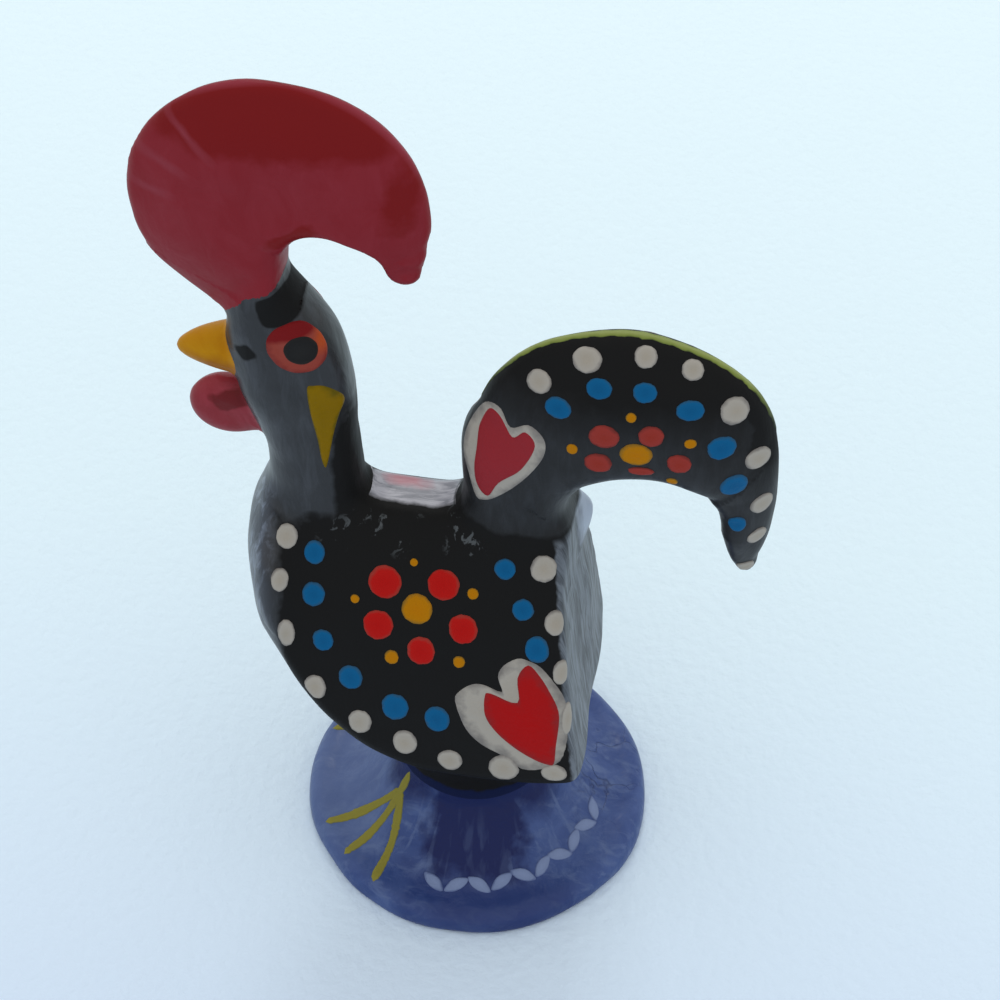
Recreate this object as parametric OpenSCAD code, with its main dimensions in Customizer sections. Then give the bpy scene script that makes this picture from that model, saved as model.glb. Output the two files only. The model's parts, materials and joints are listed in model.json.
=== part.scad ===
// Painted clay rooster on a round foot.
// X runs from the beak (negative) to the tail (positive), and Z is up.
// The rooster's left side is -Y. The origin is the centre of the foot's underside.

/* [Foot] */
// Diameter of the foot's rim
foot_d = 30; // [26:0.5:36]
// Height of the rounded rim
foot_rim_h = 2.2; // [1.6:0.1:3]
// Diameter at the top of the flare, where the blue glaze ends
foot_top_d = 13; // [11:0.5:15]
// Height of the flare
foot_h = 8.5; // [7:0.25:11]

/* [Joints] */
// Diameter of the spigot on the foot
spigot_d = 6; // [4:0.25:8]
// Length of the spigot on the foot
spigot_len = 5; // [3:0.25:7]
// Diameter of the tenons under neck and tail
tenon_d = 4; // [3:0.25:4.5]
// Length of the tenons under neck and tail
tenon_len = 5; // [3:0.25:8]
// Diameter of the tenons on beak and wattle
small_tenon_d = 1.8; // [1.4:0.1:2.2]
// Length of the tenons on beak and wattle
small_tenon_len = 2; // [1.2:0.1:2.5]
// Thickness of the tongue under the comb
tongue_t = 1.6; // [1.2:0.1:2]
// Length of the tongue under the comb
tongue_len = 3.2; // [2.5:0.1:4]
// Depth of the tongue under the comb
tongue_depth = 1.6; // [1:0.1:2.4]
// Clearance round every tenon, filled by slip
slip_gap = 0.1; // [0.05:0.01:0.2]

/* [Body] */
// Length of the body from the chest to the back face's foot
body_len = 27.7; // [25:0.5:32]
// Width of the body at its lower edge
body_w = 20.4; // [18:0.2:24]
// Height of the lower side edge above the table
body_z = 16.2; // [15:0.1:18]
// Height of the saddle between neck and tail
saddle_z = 39.4; // [38.9:0.1:42]
// Height of the flat seats under neck and tail
seat_z = 38; // [36:0.1:38.5]
// How far the chest stands in front of the foot's axis
chest_x = 18.4; // [17:0.1:20]
// Depth of the rounded chest in front of the side faces
chest_len = 3.1; // [2.5:0.1:5]
// How far the side edge sweeps up to the chest
sweep_h = 13.6; // [11:0.2:15]
// Lean of the back face over the body's height
back_lean = 2.6; // [0:0.1:3]

/* [Neck and head] */
// Height of the neck and head above the neck's seat
neck_h = 26; // [25:0.5:27]
// Length of the neck's foot, from chest to saddle
neck_len = 8.8; // [8:0.1:10]
// Width of the neck
neck_w = 6.6; // [5.8:0.1:7.6]
// Height of the brow, where the comb's front begins
brow_z = 58.8; // [57:0.1:60]
// Slope of the comb's seat on the head, in degrees
brow_slope = 45; // [40:1:50]

/* [Beak and wattle] */
// Length of the beak
beak_len = 4.9; // [4:0.1:7]
// Diameter of the beak's base
beak_d = 4.4; // [3.6:0.1:4.8]
// Height of the beak's axis above the neck's seat
beak_up = 16.1; // [15.6:0.1:16.8]
// Diameter of the wattle
wattle_d = 6.2; // [5:0.1:6.8]
// Thickness of the wattle
wattle_t = 2.2; // [2:0.1:3]
// Height of the wattle's middle above the neck's seat
wattle_up = 9.9; // [9:0.1:10.4]

/* [Comb] */
// Radius of the comb's outer curve
comb_r = 10.6; // [9.5:0.1:11.5]
// Thickness of the comb at its middle
comb_t = 5; // [4:0.1:6]
// Thickness of the comb's rim
comb_rim_t = 0.9; // [0.6:0.05:1.4]
// Radius of the notch under the comb's rear tip
comb_notch_r = 4.7; // [4:0.1:5]

/* [Tail] */
// Radius of the tail's outer curve
tail_r = 11.6; // [11:0.1:12.6]
// Thickness of the tail at its middle
tail_t = 7.6; // [6:0.1:9]
// Thickness of the tail's rim
tail_rim_t = 0.9; // [0.6:0.05:1.4]
// Radius of the hollow under the tail
tail_hollow_r = 6; // [5:0.1:6.4]
// Distance from the neck's back to the front of the tail's root
saddle_len = 7.9; // [7.5:0.1:8.5]
// Length of the tail's root along the body
tail_root_len = 8; // [7:0.1:8.5]
// Thickness of the tail's root on the body
tail_root_t = 5.8; // [5:0.1:6]
// Height of the root below where it narrows into the tail
tail_root_h = 7; // [5:0.1:8]
// How far the tip hangs below the middle of the tail's curve
tail_drop = 12.6; // [10:0.1:13]

/* [Paint] */
// Height of the raised enamel dabs
dab_h = 0.3; // [0.15:0.05:0.5]
// Diameter of the white dots
white_d = 2; // [1.4:0.1:2.2]
// Diameter of the blue dots
blue_d = 1.9; // [1.4:0.1:2.1]
// Diameter of the flower petals
petal_d = 2.5; // [1.8:0.1:2.7]
// Diameter of the flower centres
flower_centre_d = 2.4; // [1.6:0.1:2.5]
// Diameter of the specks round the flowers
speck_d = 0.9; // [0.5:0.1:1.2]
// Length of the red heart on the body
heart_len = 9.4; // [7:0.1:10]
// Width of the red heart on the body
heart_w = 6.1; // [4.6:0.1:6.6]
// Width of the white halo round the hearts
halo_w = 0.8; // [0.5:0.1:1]
// Outer diameter of the eye rings
eye_d = 4.4; // [3.6:0.1:4.8]
// Diameter of the pupils
pupil_d = 2.3; // [1.6:0.1:2.6]
// Length of the ear drops
ear_len = 8.4; // [6:0.1:9]
// Width of a painted toe
toe_w = 0.8; // [0.5:0.1:1.2]

/* [Hidden] */
SIDES = ["left", "right"];
$fn = 64;

black_glaze = [0.11, 0.11, 0.11];
blue_glaze = [0.24, 0.31, 0.59];
comb_red = [0.5, 0.09, 0.13];
wattle_red = [0.6, 0.15, 0.2];
petal_red = [0.78, 0.12, 0.06];
heart_red = [0.57, 0.08, 0.09];
eye_orange = [0.86, 0.25, 0.14];
yellow = [0.8, 0.6, 0.06];
white = [0.76, 0.74, 0.71];
dot_blue = [0.12, 0.42, 0.65];
rim_green = [0.58, 0.66, 0.24];
pale_blue = [0.5, 0.57, 0.7];

// Slip and paint leave this much between a dab and the curved clay below it
dab_gap = 0.05;
// Exponents of the arch across the body and of the neck's cross-section
arch_power = 1.5;
neck_power = 2.5;

chest_nose_x = -chest_x;
chest_face_x = chest_nose_x + chest_len;
back_x = body_len - chest_x;
body_h = saddle_z - body_z;
chest_mid_z = body_z + body_h * 0.724;
side_len = back_x - chest_face_x;

neck_front_x = chest_nose_x + chest_len * 0.323;
neck_rear_x = neck_front_x + neck_len;
neck_x = (neck_front_x + neck_rear_x) / 2;
beak_seat_x = neck_front_x - neck_len * 0.04;
beak_z = seat_z + beak_up;
wattle_z = seat_z + wattle_up;
chin_seat_x = neck_front_x + neck_len * 0.125;
brow_x = neck_front_x - neck_len * 0.102;

comb_x = brow_x + comb_r * 0.434;
comb_z = brow_z + comb_r * 0.934;
comb_notch_x = comb_x + comb_r * 0.415;
comb_notch_z = comb_z - comb_r * 0.604;
// Distance over which the comb thickens from its rim
comb_over = comb_r * 0.632;

tail_front_x = neck_rear_x + saddle_len;
tail_x = tail_front_x + tail_root_len / 2;
tail_mid_x = tail_front_x + tail_r * 1.069;
tail_mid_z = seat_z + tail_r * 0.858;
hollow_x = tail_mid_x + tail_r * 0.147;
hollow_z = tail_mid_z - tail_r * 0.677;
// Distance over which the tail thickens from its rim
tail_over = tail_r * 0.578;
// The hook behind the tail follows a wider circle, which meets the outer curve
hook_r = tail_r * 1.8;
hook_x = tail_mid_x + tail_r * 1.026 - hook_r;
hook_z = tail_mid_z - tail_r * 0.397;
tip_r = tail_r * 0.0905;
tip_z = tail_mid_z - tail_drop + tip_r;
tip_x = hook_x + sqrt(hook_r * hook_r - (tip_z - hook_z) * (tip_z - hook_z)) - tip_r;

// Half-width of the arched body at a height
function side_y(z) = let (t = max(0, min(1, (z - body_z) / body_h)))
    body_w / 2 * sqrt(1 - pow(t, arch_power));
// Height of the lower side edge: it sweeps up to the chest and lifts a little at the back
sweep_x = back_x * 0.27;
lift_x = back_x * 0.376;
function sweep(x) = pow(max(0, sweep_x - x) / (sweep_x - chest_face_x), 3);
function edge_z(x) = body_z + sweep_h * sweep(x)
    + body_h * 0.0435 * pow(max(0, x - lift_x) / (back_x - lift_x), 2);
// Height of the keel along the middle of the belly
function keel_z(x) = body_z + body_h * (0.345 * sweep(x) - 0.043);

// Half of one cross-section, from the keel round the side edge up to the crown, as [y, z]
function half_section(x, n) = let (ze = edge_z(x), zk = keel_z(x), we = side_y(ze)) concat(
    [for (i = [0:n - 1]) let (a = 90 * i / n) [we * sin(a), ze - (ze - zk) * cos(a)]],
    [for (i = [0:2 * n - 1]) let (z = ze + (saddle_z - ze) * sin(45 * i / n)) [side_y(z), z]]);

// A closed ring of points at station x, squeezed towards the chest's middle height
function body_ring(x, squeeze_y, squeeze_z, lean) =
    let (half = half_section(max(x, chest_face_x), 6), last = len(half) - 1)
    let (full = concat(half, [[0, saddle_z]], [for (i = [last:-1:1]) [-half[i][0], half[i][1]]]))
    [for (p = full) [x - lean * (p[1] - body_z) / body_h, p[0] * squeeze_y,
        chest_mid_z + (p[1] - chest_mid_z) * squeeze_z]];

// Shape of the neck and head: share of the height, how far front and rear move back
// as shares of the neck's length, and half-width as a share of the neck's width
head_shape = [
    [0, 0, 0, 0.53],
    [0.046, 0.068, -0.011, 0.5],
    [0.115, 0.136, -0.023, 0.49],
    [0.215, 0.17, -0.028, 0.485],
    [0.308, 0.148, -0.045, 0.49],
    [0.404, 0.068, -0.068, 0.5],
    [0.5, -0.045, -0.108, 0.51],
    [0.596, -0.091, -0.159, 0.51],
    [0.692, -0.102, -0.239, 0.49],
    [0.769, -0.102, -0.33, 0.45],
    [0.846, -0.08, -0.455, 0.4],
    [0.923, -0.057, -0.591, 0.35],
    [1, -0.034, -0.727, 0.3],
];
head_rings = [for (s = head_shape)
    [neck_h * s[0], neck_front_x + neck_len * s[1], neck_rear_x + neck_len * s[2], neck_w * s[3]]];
function head_at(up, k) = lookup(up, [for (r = head_rings) [r[0], r[k]]]);
function power_sign(v, p) = sign(v) * pow(abs(v), p);
function head_ring(r, n) = let (cx = (r[1] + r[2]) / 2, rx = (r[2] - r[1]) / 2, p = 2 / neck_power)
    [for (i = [0:n - 1]) let (a = 360 * i / n)
        [cx + rx * power_sign(cos(a), p), r[3] * power_sign(sin(a), p), seat_z + r[0]]];
// Half-width of the neck and head at a place on their side
function head_y(x, z) = let (f = head_at(z - seat_z, 1), r = head_at(z - seat_z, 2))
    head_at(z - seat_z, 3) * pow(1 - pow(abs(2 * x - f - r) / (r - f), neck_power), 1 / neck_power);

// A solid skinned over a list of rings with equally many points
module loft(rings) {
    n = len(rings[0]);
    m = len(rings);
    polyhedron(
        points = [for (r = rings) each r],
        faces = concat(
            [[for (i = [0:n - 1]) i]],
            [for (j = [0:m - 2]) for (i = [0:n - 1]) [j * n + i, (j + 1) * n + i, (j + 1) * n + (i + 1) % n]],
            [for (j = [0:m - 2]) for (i = [0:n - 1]) [j * n + i, (j + 1) * n + (i + 1) % n, j * n + (i + 1) % n]],
            [[for (i = [n - 1:-1:0]) (m - 1) * n + i]]));
}

// Draws its children on the left side, or mirrored on the right side
module on_side(side) {
    mirror([0, side == "right" ? 1 : 0, 0])
        children();
}

// Turns its children's Z axis to a direction
module aim(p, d) {
    translate(p)
        rotate([0, acos(d[2] / norm(d)), atan2(d[1], d[0])])
            children();
}

// A plate upright in the XZ plane, from a 2-D outline drawn as [x, z]
module upright(t) {
    rotate([90, 0, 0])
        linear_extrude(height = t, center = true)
            children();
}

// A turned disc with its axis along Y, which thickens from its rim over a distance
module lens(r, middle_t, rim_t, over) {
    half = [for (p = [[0, 0], [0.33, 0.56], [0.63, 0.86], [1, 1]])
        [r - over * p[0], (rim_t + (middle_t - rim_t) * p[1]) / 2]];
    rotate([90, 0, 0])
        rotate_extrude($fn = 96)
            polygon(concat(half, [[0, middle_t / 2], [0, -middle_t / 2]],
                [for (i = [3:-1:0]) [half[i][0], -half[i][1]]]));
}

// A round cutter with its axis along Y, which widens outwards to round the clay's edges
module spool(r, t) {
    half = [[r, t * 0.16], [r + t * 0.12, t * 0.33], [r + t * 0.34, t * 0.5], [r + t * 0.4, t]];
    rotate([90, 0, 0])
        rotate_extrude($fn = 72)
            polygon(concat(half, [[0, t], [0, -t]], [for (i = [3:-1:0]) [half[i][0], -half[i][1]]]));
}

// Foot
module foot_flare(grow) {
    edge_r = foot_d / 2 - 0.5;
    rotate_extrude()
        polygon(concat(
            [[0, 0], [edge_r, 0]],
            [for (a = [-60:30:60]) [edge_r + (0.5 + grow) * cos(a), foot_rim_h / 2 * (1 + sin(a))]],
            [for (i = [0:10]) let (f = i / 10)
                [edge_r - 0.5 - (edge_r - 0.5 - foot_top_d / 2) * f,
                    grow + foot_rim_h + (foot_h - foot_rim_h) * pow(f, 2.2)]],
            [[0, foot_h + grow]]));
}

module foot() {
    color(blue_glaze) {
        foot_flare(0);
        translate([0, 0, foot_h - 0.5])
            cylinder(d = spigot_d, h = spigot_len + 0.5);
    }
}

// Body
module body_form() {
    nose = [for (i = [1:7]) let (u = cos(90 * i / 8))
        body_ring(chest_face_x - chest_len * u, sqrt(1 - u * u), sqrt(1 - pow(u, 2.4)), 0)];
    trunk = [for (i = [0:14]) let (f = i / 14)
        body_ring(chest_face_x + side_len * f, 1, 1, back_lean * pow(max(0, 2 * f - 1), 2))];
    loft(concat(nose, trunk));
}

module body() {
    color(black_glaze)
        difference() {
            union() {
                body_form();
                translate([0, 0, foot_h])
                    cylinder(d1 = foot_top_d, d2 = foot_top_d + 2.4, h = body_z - foot_h + 1);
            }
            translate([0, 0, foot_h - 1])
                cylinder(d = spigot_d + 2 * slip_gap, h = spigot_len + 1 + slip_gap);
            // Flat seats for the neck and the tail
            translate([chest_nose_x - 1, -body_w / 2, seat_z])
                cube([neck_rear_x - chest_nose_x + 1, body_w, body_h]);
            translate([tail_front_x, -body_w / 2, seat_z])
                cube([body_len, body_w, body_h]);
            for (x = [neck_x, tail_x])
                translate([x, 0, seat_z - tenon_len - slip_gap])
                    cylinder(d = tenon_d + 2 * slip_gap, h = tenon_len + 2);
        }
}

// Neck and head
module at_brow() {
    translate([brow_x, 0, brow_z])
        rotate([0, -brow_slope, 0])
            children();
}

module neck_and_head() {
    reach = 8;
    color(black_glaze)
        difference() {
            union() {
                loft([for (r = head_rings) head_ring(r, 28)]);
                translate([neck_x, 0, seat_z - tenon_len])
                    cylinder(d = tenon_d, h = tenon_len + 1);
            }
            // Seat and slot for the comb
            at_brow() {
                translate([-reach, -reach, 0])
                    cube([4 * reach, 2 * reach, 2 * reach]);
                translate([1.6 - slip_gap, -tongue_t / 2 - slip_gap, -tongue_depth - slip_gap])
                    cube([tongue_len + 2 * slip_gap, tongue_t + 2 * slip_gap, 2 * tongue_depth]);
            }
            // Seats and sockets for the beak and the wattle
            translate([beak_seat_x - reach, -reach, beak_z - beak_d / 2 - 0.2])
                cube([reach, 2 * reach, beak_d + 0.4]);
            translate([beak_seat_x + small_tenon_len + slip_gap, 0, beak_z])
                rotate([0, -90, 0])
                    cylinder(d = small_tenon_d + 2 * slip_gap, h = small_tenon_len + 2);
            translate([chin_seat_x - reach, -reach, wattle_z - wattle_d / 2 - 0.2])
                cube([reach, 2 * reach, wattle_d + 0.4]);
            translate([chin_seat_x + small_tenon_len + slip_gap, 0, wattle_z])
                rotate([0, -90, 0])
                    cylinder(d = small_tenon_d + 2 * slip_gap, h = small_tenon_len + 2);
        }
}

module small_tenon(x, z) {
    translate([x + small_tenon_len, 0, z])
        rotate([0, -90, 0])
            cylinder(d = small_tenon_d, h = small_tenon_len + 0.6);
}

module beak() {
    color(yellow) {
        translate([beak_seat_x, 0, beak_z])
            rotate([0, -90, 0])
                rotate_extrude()
                    polygon(concat([[0, 0]],
                        [for (a = [0:10:80]) [beak_d / 2 * pow(cos(a), 0.7), beak_len * sin(a)]],
                        [[0, beak_len]]));
        small_tenon(beak_seat_x, beak_z);
    }
}

module wattle() {
    mid_x = chin_seat_x - wattle_d / 2 + 0.4;
    color(wattle_red) {
        difference() {
            translate([mid_x, 0, wattle_z])
                lens(wattle_d / 2, wattle_t, 1, 2.2);
            translate([chin_seat_x, -wattle_t, wattle_z - wattle_d])
                cube([wattle_d, 2 * wattle_t, 2 * wattle_d]);
        }
        small_tenon(chin_seat_x, wattle_z);
    }
}

// Comb: a disc with a slanting front edge and a notch under its rear tip
module comb_outline() {
    difference() {
        union() {
            translate([comb_x, comb_z])
                circle(r = comb_r, $fn = 96);
            polygon([[comb_x - comb_r * 0.915, comb_z - comb_r * 0.47], [brow_x, brow_z - 1],
                [comb_x + 1, brow_z + 3], [comb_x + 1, comb_z]]);
        }
        translate([comb_notch_x, comb_notch_z])
            circle(r = comb_notch_r);
    }
}

module comb() {
    reach = 12;
    color(comb_red) {
        difference() {
            intersection() {
                translate([comb_x, 0, comb_z])
                    lens(comb_r * 1.028, comb_t, comb_rim_t, comb_over);
                upright(comb_t + 1)
                    comb_outline();
            }
            at_brow()
                translate([-reach, -reach, -2 * reach])
                    cube([reach + 7.5, 2 * reach, 2 * reach]);
            translate([comb_notch_x, 0, comb_notch_z])
                spool(comb_notch_r, comb_t);
        }
        at_brow()
            translate([1.6, -tongue_t / 2, -tongue_depth])
                cube([tongue_len, tongue_t, tongue_depth + 1]);
    }
}

// Tail: a sickle with a thick middle and a thin rim
module tail_outline(grow) {
    difference() {
        union() {
            translate([tail_mid_x, tail_mid_z])
                circle(r = tail_r + grow, $fn = 96);
            intersection() {
                translate([hook_x, hook_z])
                    circle(r = hook_r + grow, $fn = 160);
                translate([hollow_x, tip_z])
                    square([hook_r, tail_mid_z - tip_z]);
            }
            translate([tip_x, tip_z])
                circle(r = tip_r + grow);
            polygon([[tail_front_x - grow, seat_z - 1], [tail_front_x - grow, tail_mid_z - 1],
                [tail_front_x + 1 - grow, tail_mid_z + 2.5], [hollow_x, tail_mid_z], [hollow_x, seat_z - 1]]);
        }
        translate([hollow_x, hollow_z])
            circle(r = tail_hollow_r);
        polygon([[hollow_x - tail_hollow_r, hollow_z], [hollow_x + tail_hollow_r, hollow_z],
            [tip_x - tip_r, tip_z], [tip_x - tip_r, 0], [hollow_x - tail_hollow_r, 0]]);
    }
}

module tail_form(grow) {
    root_r = tail_root_t / 2 + grow;
    difference() {
        intersection() {
            union() {
                translate([tail_mid_x, 0, tail_mid_z])
                    lens(tail_r * 1.026 + grow, tail_t + 2 * grow, tail_rim_t + 2 * grow, tail_over);
                intersection() {
                    translate([hook_x, 0, hook_z])
                        lens(hook_r + tail_r * 0.026 + grow, tail_t + 2 * grow, tail_rim_t + 2 * grow, tail_over);
                    // The hook tapers towards the tip
                    translate([hollow_x, 0, 0])
                        rotate([90, 0, 90])
                            linear_extrude(height = hook_r)
                                polygon([[-0.6 - grow, tip_z - 2], [-tail_t / 2 - grow, tip_z + tail_r * 0.741],
                                    [-tail_t / 2 - grow, tail_mid_z], [tail_t / 2 + grow, tail_mid_z],
                                    [tail_t / 2 + grow, tip_z + tail_r * 0.741], [0.6 + grow, tip_z - 2]]);
                }
                for (x = [tail_front_x + tail_root_t / 2, tail_front_x + tail_root_len - tail_root_t / 2])
                    translate([x, 0, seat_z]) {
                        cylinder(r = root_r, h = tail_root_h);
                        translate([0, 0, tail_root_h - 0.001])
                            cylinder(r1 = root_r, r2 = root_r * 0.3, h = tail_root_h);
                    }
            }
            upright(tail_t + 2)
                tail_outline(grow);
        }
        translate([tail_front_x - 2, -tail_t, 0])
            cube([hollow_x - tail_front_x, 2 * tail_t, seat_z]);
        translate([hollow_x, 0, hollow_z])
            spool(tail_hollow_r, tail_t);
    }
}

module tail() {
    color(black_glaze) {
        tail_form(0);
        translate([tail_x, 0, seat_z - tenon_len])
            cylinder(d = tenon_d, h = tenon_len + 1);
    }
}

// Enamel dabs on the body, placed as shares of the side's length and height
white_spots = [[0.04, 0.91], [0.02, 0.77], [0.05, 0.58], [0.14, 0.37], [0.29, 0.23], [0.44, 0.16], [0.59, 0.1],
    [0.77, 0.08], [0.94, 0.09], [0.97, 0.36], [0.95, 0.55], [0.92, 0.73], [0.87, 0.89]];
blue_spots = [[0.13, 0.87], [0.13, 0.74], [0.17, 0.57], [0.26, 0.43], [0.41, 0.32], [0.55, 0.29],
    [0.75, 0.88], [0.81, 0.76], [0.87, 0.64]];
petal_spots = [[0.36, 0.8], [0.55, 0.81], [0.62, 0.67], [0.49, 0.57], [0.35, 0.65]];
flower_spots = [[0.47, 0.72]];
speck_spots = [[0.45, 0.87], [0.27, 0.74], [0.65, 0.8], [0.39, 0.53], [0.62, 0.54]];
heart_spot = [0.85, 0.32];
heart_turn = 23;

// Distance along the side for a share: the rear half keeps its length with the heart,
// and the front half takes what is left of the body
rear_half = heart_w * 2.016;
function along_side(share) = share < 0.5 ? 2 * share * (side_len - rear_half) : side_len - 2 * (1 - share) * rear_half;

// Moves its children to a place on the body's left side, with Z pointing outwards
module at_body_side(spot) {
    x = chest_face_x + along_side(spot[0]);
    z = body_z + body_h * spot[1];
    slope = (side_y(z + 0.1) - side_y(z - 0.1)) / 0.2;
    translate([x, -side_y(z), z])
        rotate([90 + atan(slope), 0, 0])
            children();
}

// A skin that follows the body's arched sides, from one height above the clay to another,
// and ends with them at the leaning rear face
module body_skin(from, to) {
    intersection() {
        arched_skin(from, to);
        upright(2 * body_w)
            polygon([[chest_nose_x - 2, body_z - 2], [back_x, body_z - 2], [back_x, body_z],
                [back_x - back_lean, saddle_z], [back_x - back_lean, saddle_z + 2], [chest_nose_x - 2, saddle_z + 2]]);
    }
}

module arched_skin(from, to) {
    steps = 14;
    arch = [for (i = [0:steps]) let (z = body_z + body_h * sin(90 * i / steps)) [-side_y(z), z]];
    rotate([90, 0, 90])
        linear_extrude(height = 3 * body_len, center = true)
            intersection() {
                translate([-body_w, body_z - 1])
                    square([body_w - 0.5, body_h]);
                difference() {
                    polygon(concat([for (p = arch) p - [to, 0]], [[0, saddle_z + to], [0, 0], [-body_w / 2 - to, 0]]));
                    polygon(concat([for (p = arch) p - [from, 0]], [[0, saddle_z + from], [0, 0], [-body_w / 2 - from, 0]]));
                }
            }
}

module body_dabs(spots, d, level = 0) {
    from = dab_gap + level * dab_h;
    intersection() {
        body_skin(from, from + dab_h);
        for (spot = spots)
            at_body_side(spot)
                cylinder(d = d, h = 6, center = true);
    }
}

// A heart with its notch at the top and its tip at the bottom, centred on its length
module heart(length, width, grow = 0) {
    lobe_r = width / 3.84;
    lobe_x = width / 2 - lobe_r;
    drop = length - lobe_r;
    lean = asin(lobe_r / sqrt(lobe_x * lobe_x + drop * drop)) + atan2(lobe_x, drop);
    outer_r = lobe_r + grow;
    notch_a = acos(-lobe_x / outer_r);
    lobe = [for (i = [0:10]) let (a = -lean + (notch_a + lean) * i / 10)
        [lobe_x + outer_r * cos(a), outer_r * sin(a)]];
    translate([0, length / 2 - lobe_r])
        polygon(concat([[0, -drop - grow / sin(lean)]], lobe, [for (i = [9:-1:0]) [-lobe[i][0], lobe[i][1]]]));
}

module body_heart(level, spot, grow) {
    from = dab_gap + level * dab_h;
    intersection() {
        body_skin(from, from + dab_h);
        at_body_side(spot)
            rotate([0, 0, heart_turn])
                linear_extrude(height = 8, center = true)
                    heart(heart_len, heart_w, grow);
    }
}

module body_halo() {
    difference() {
        union() {
            body_heart(0, heart_spot, halo_w);
            body_heart(0, heart_spot - [0.05, 0], halo_w);
        }
        for (spot = white_spots)
            at_body_side(spot)
                cylinder(d = white_d + 0.1, h = 8, center = true);
        for (spot = blue_spots)
            at_body_side(spot)
                cylinder(d = blue_d + 0.1, h = 8, center = true);
    }
}

// Enamel dabs on the tail, placed as [angle, share of the tail's radius] round its middle
tail_white_spots = [[129, 0.86], [106, 0.9], [83, 0.93], [65, 0.93], [41, 0.88], [13, 0.86], [-16, 0.93],
    [-32, 1.04], [-46, 1.18]];
tail_blue_spots = [[126, 0.66], [102, 0.7], [81, 0.72], [57, 0.72], [29, 0.68], [0, 0.69], [-26, 0.82]];
tail_petal_spots = [[108, 0.43], [68, 0.47], [32, 0.42], [134, 0.2], [10, 0.2]];
tail_flower_spots = [[66, 0.24]];
tail_speck_spots = [[85, 0.58], [139, 0.4], [45, 0.6], [8, 0.44]];
tail_heart_spot = [184.5, 0.775];
tail_heart_turn = -13;

module at_tail(spot) {
    translate([tail_mid_x + tail_r * spot[1] * cos(spot[0]), 0, tail_mid_z + tail_r * spot[1] * sin(spot[0])])
        rotate([90, 0, 0])
            children();
}

module tail_skin(level) {
    difference() {
        tail_form((level + 1) * dab_h);
        tail_form(level * dab_h);
    }
}

module tail_dabs(spots, d) {
    intersection() {
        tail_skin(0);
        for (spot = spots)
            at_tail(spot)
                cylinder(d = d, h = tail_t, $fn = 32);
    }
}

module tail_heart(level, grow) {
    intersection() {
        tail_skin(level);
        at_tail(tail_heart_spot)
            rotate([0, 0, tail_heart_turn])
                linear_extrude(height = tail_t)
                    heart(heart_len * 0.94, heart_w * 0.8, grow);
    }
}

module tail_rim_band() {
    color(rim_green)
        translate([tail_mid_x, 0, tail_mid_z])
            rotate([90, 0, 0])
                rotate([0, 0, 15])
                    rotate_extrude(angle = 130, $fn = 96)
                        translate([tail_r + 0.02, -tail_rim_t / 2])
                            square([0.2, tail_rim_t]);
}

// Enamel on the head
module on_head(x, z) {
    step = 0.2;
    slope_x = (head_y(x + step, z) - head_y(x - step, z)) / (2 * step);
    slope_z = (head_y(x, z + step) - head_y(x, z - step)) / (2 * step);
    translate([x, -head_y(x, z) - dab_gap, z])
        rotate([90 + atan(slope_z), 0, 0])
            rotate([0, -atan(slope_x), 0])
                children();
}

eye_x = neck_x + neck_len * 0.045;
eye_z = seat_z + neck_h * 0.754;
ear_x = neck_x + neck_len * 0.261;
ear_z = seat_z + neck_h * 0.469;

module eye_ring() {
    on_head(eye_x, eye_z)
        difference() {
            cylinder(d = eye_d, h = dab_h);
            translate([0, 0, -1])
                cylinder(d = pupil_d + 0.1, h = 2);
        }
}

module ear_drop() {
    top_r = 1.1;
    on_head(ear_x, ear_z)
        linear_extrude(height = dab_h)
            polygon(concat(
                [for (a = [0:20:180]) [top_r * cos(a), ear_len / 2 - top_r + top_r * sin(a)]],
                [[-0.2, -ear_len / 2], [0.2, -ear_len / 2]]));
}

// Enamel on the foot
module on_flare() {
    difference() {
        intersection() {
            foot_flare(dab_h);
            linear_extrude(height = foot_h + 1)
                children();
        }
        foot_flare(0);
    }
}

// A place on the flare, as a share of the way from the stem to the rim
leg_r = foot_top_d / 2 + 0.1;
function polar(share, a) = (leg_r + (foot_d / 2 - leg_r) * share) * [cos(a), sin(a)];

// A brush stroke that narrows towards its end
module stroke(from, to, w) {
    d = (to - from) / norm(to - from);
    side = w / 2 * [-d[1], d[0]];
    polygon([from + side, from - side, to - 0.6 * side, to + 0.6 * side]);
}

module toes() {
    on_flare() {
        stroke(polar(0, 223), polar(0.3, 225), toe_w);
        for (a = [212, 225, 240])
            stroke(polar(0.27, 225), polar(0.89, a), toe_w);
    }
}

// A plain garland of brush dabs round the front of the foot
module foot_garland() {
    color(pale_blue)
        on_flare()
            for (i = [0:9])
                rotate(-100 + 9.6 * i)
                    translate([foot_d / 2 * (0.8 - 0.007 * i), 0])
                        rotate(i % 2 == 0 ? 35 : -35)
                            intersection() {
                                translate([0, 0.9]) circle(r = 1.4);
                                translate([0, -0.9]) circle(r = 1.4);
                            }
}

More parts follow.
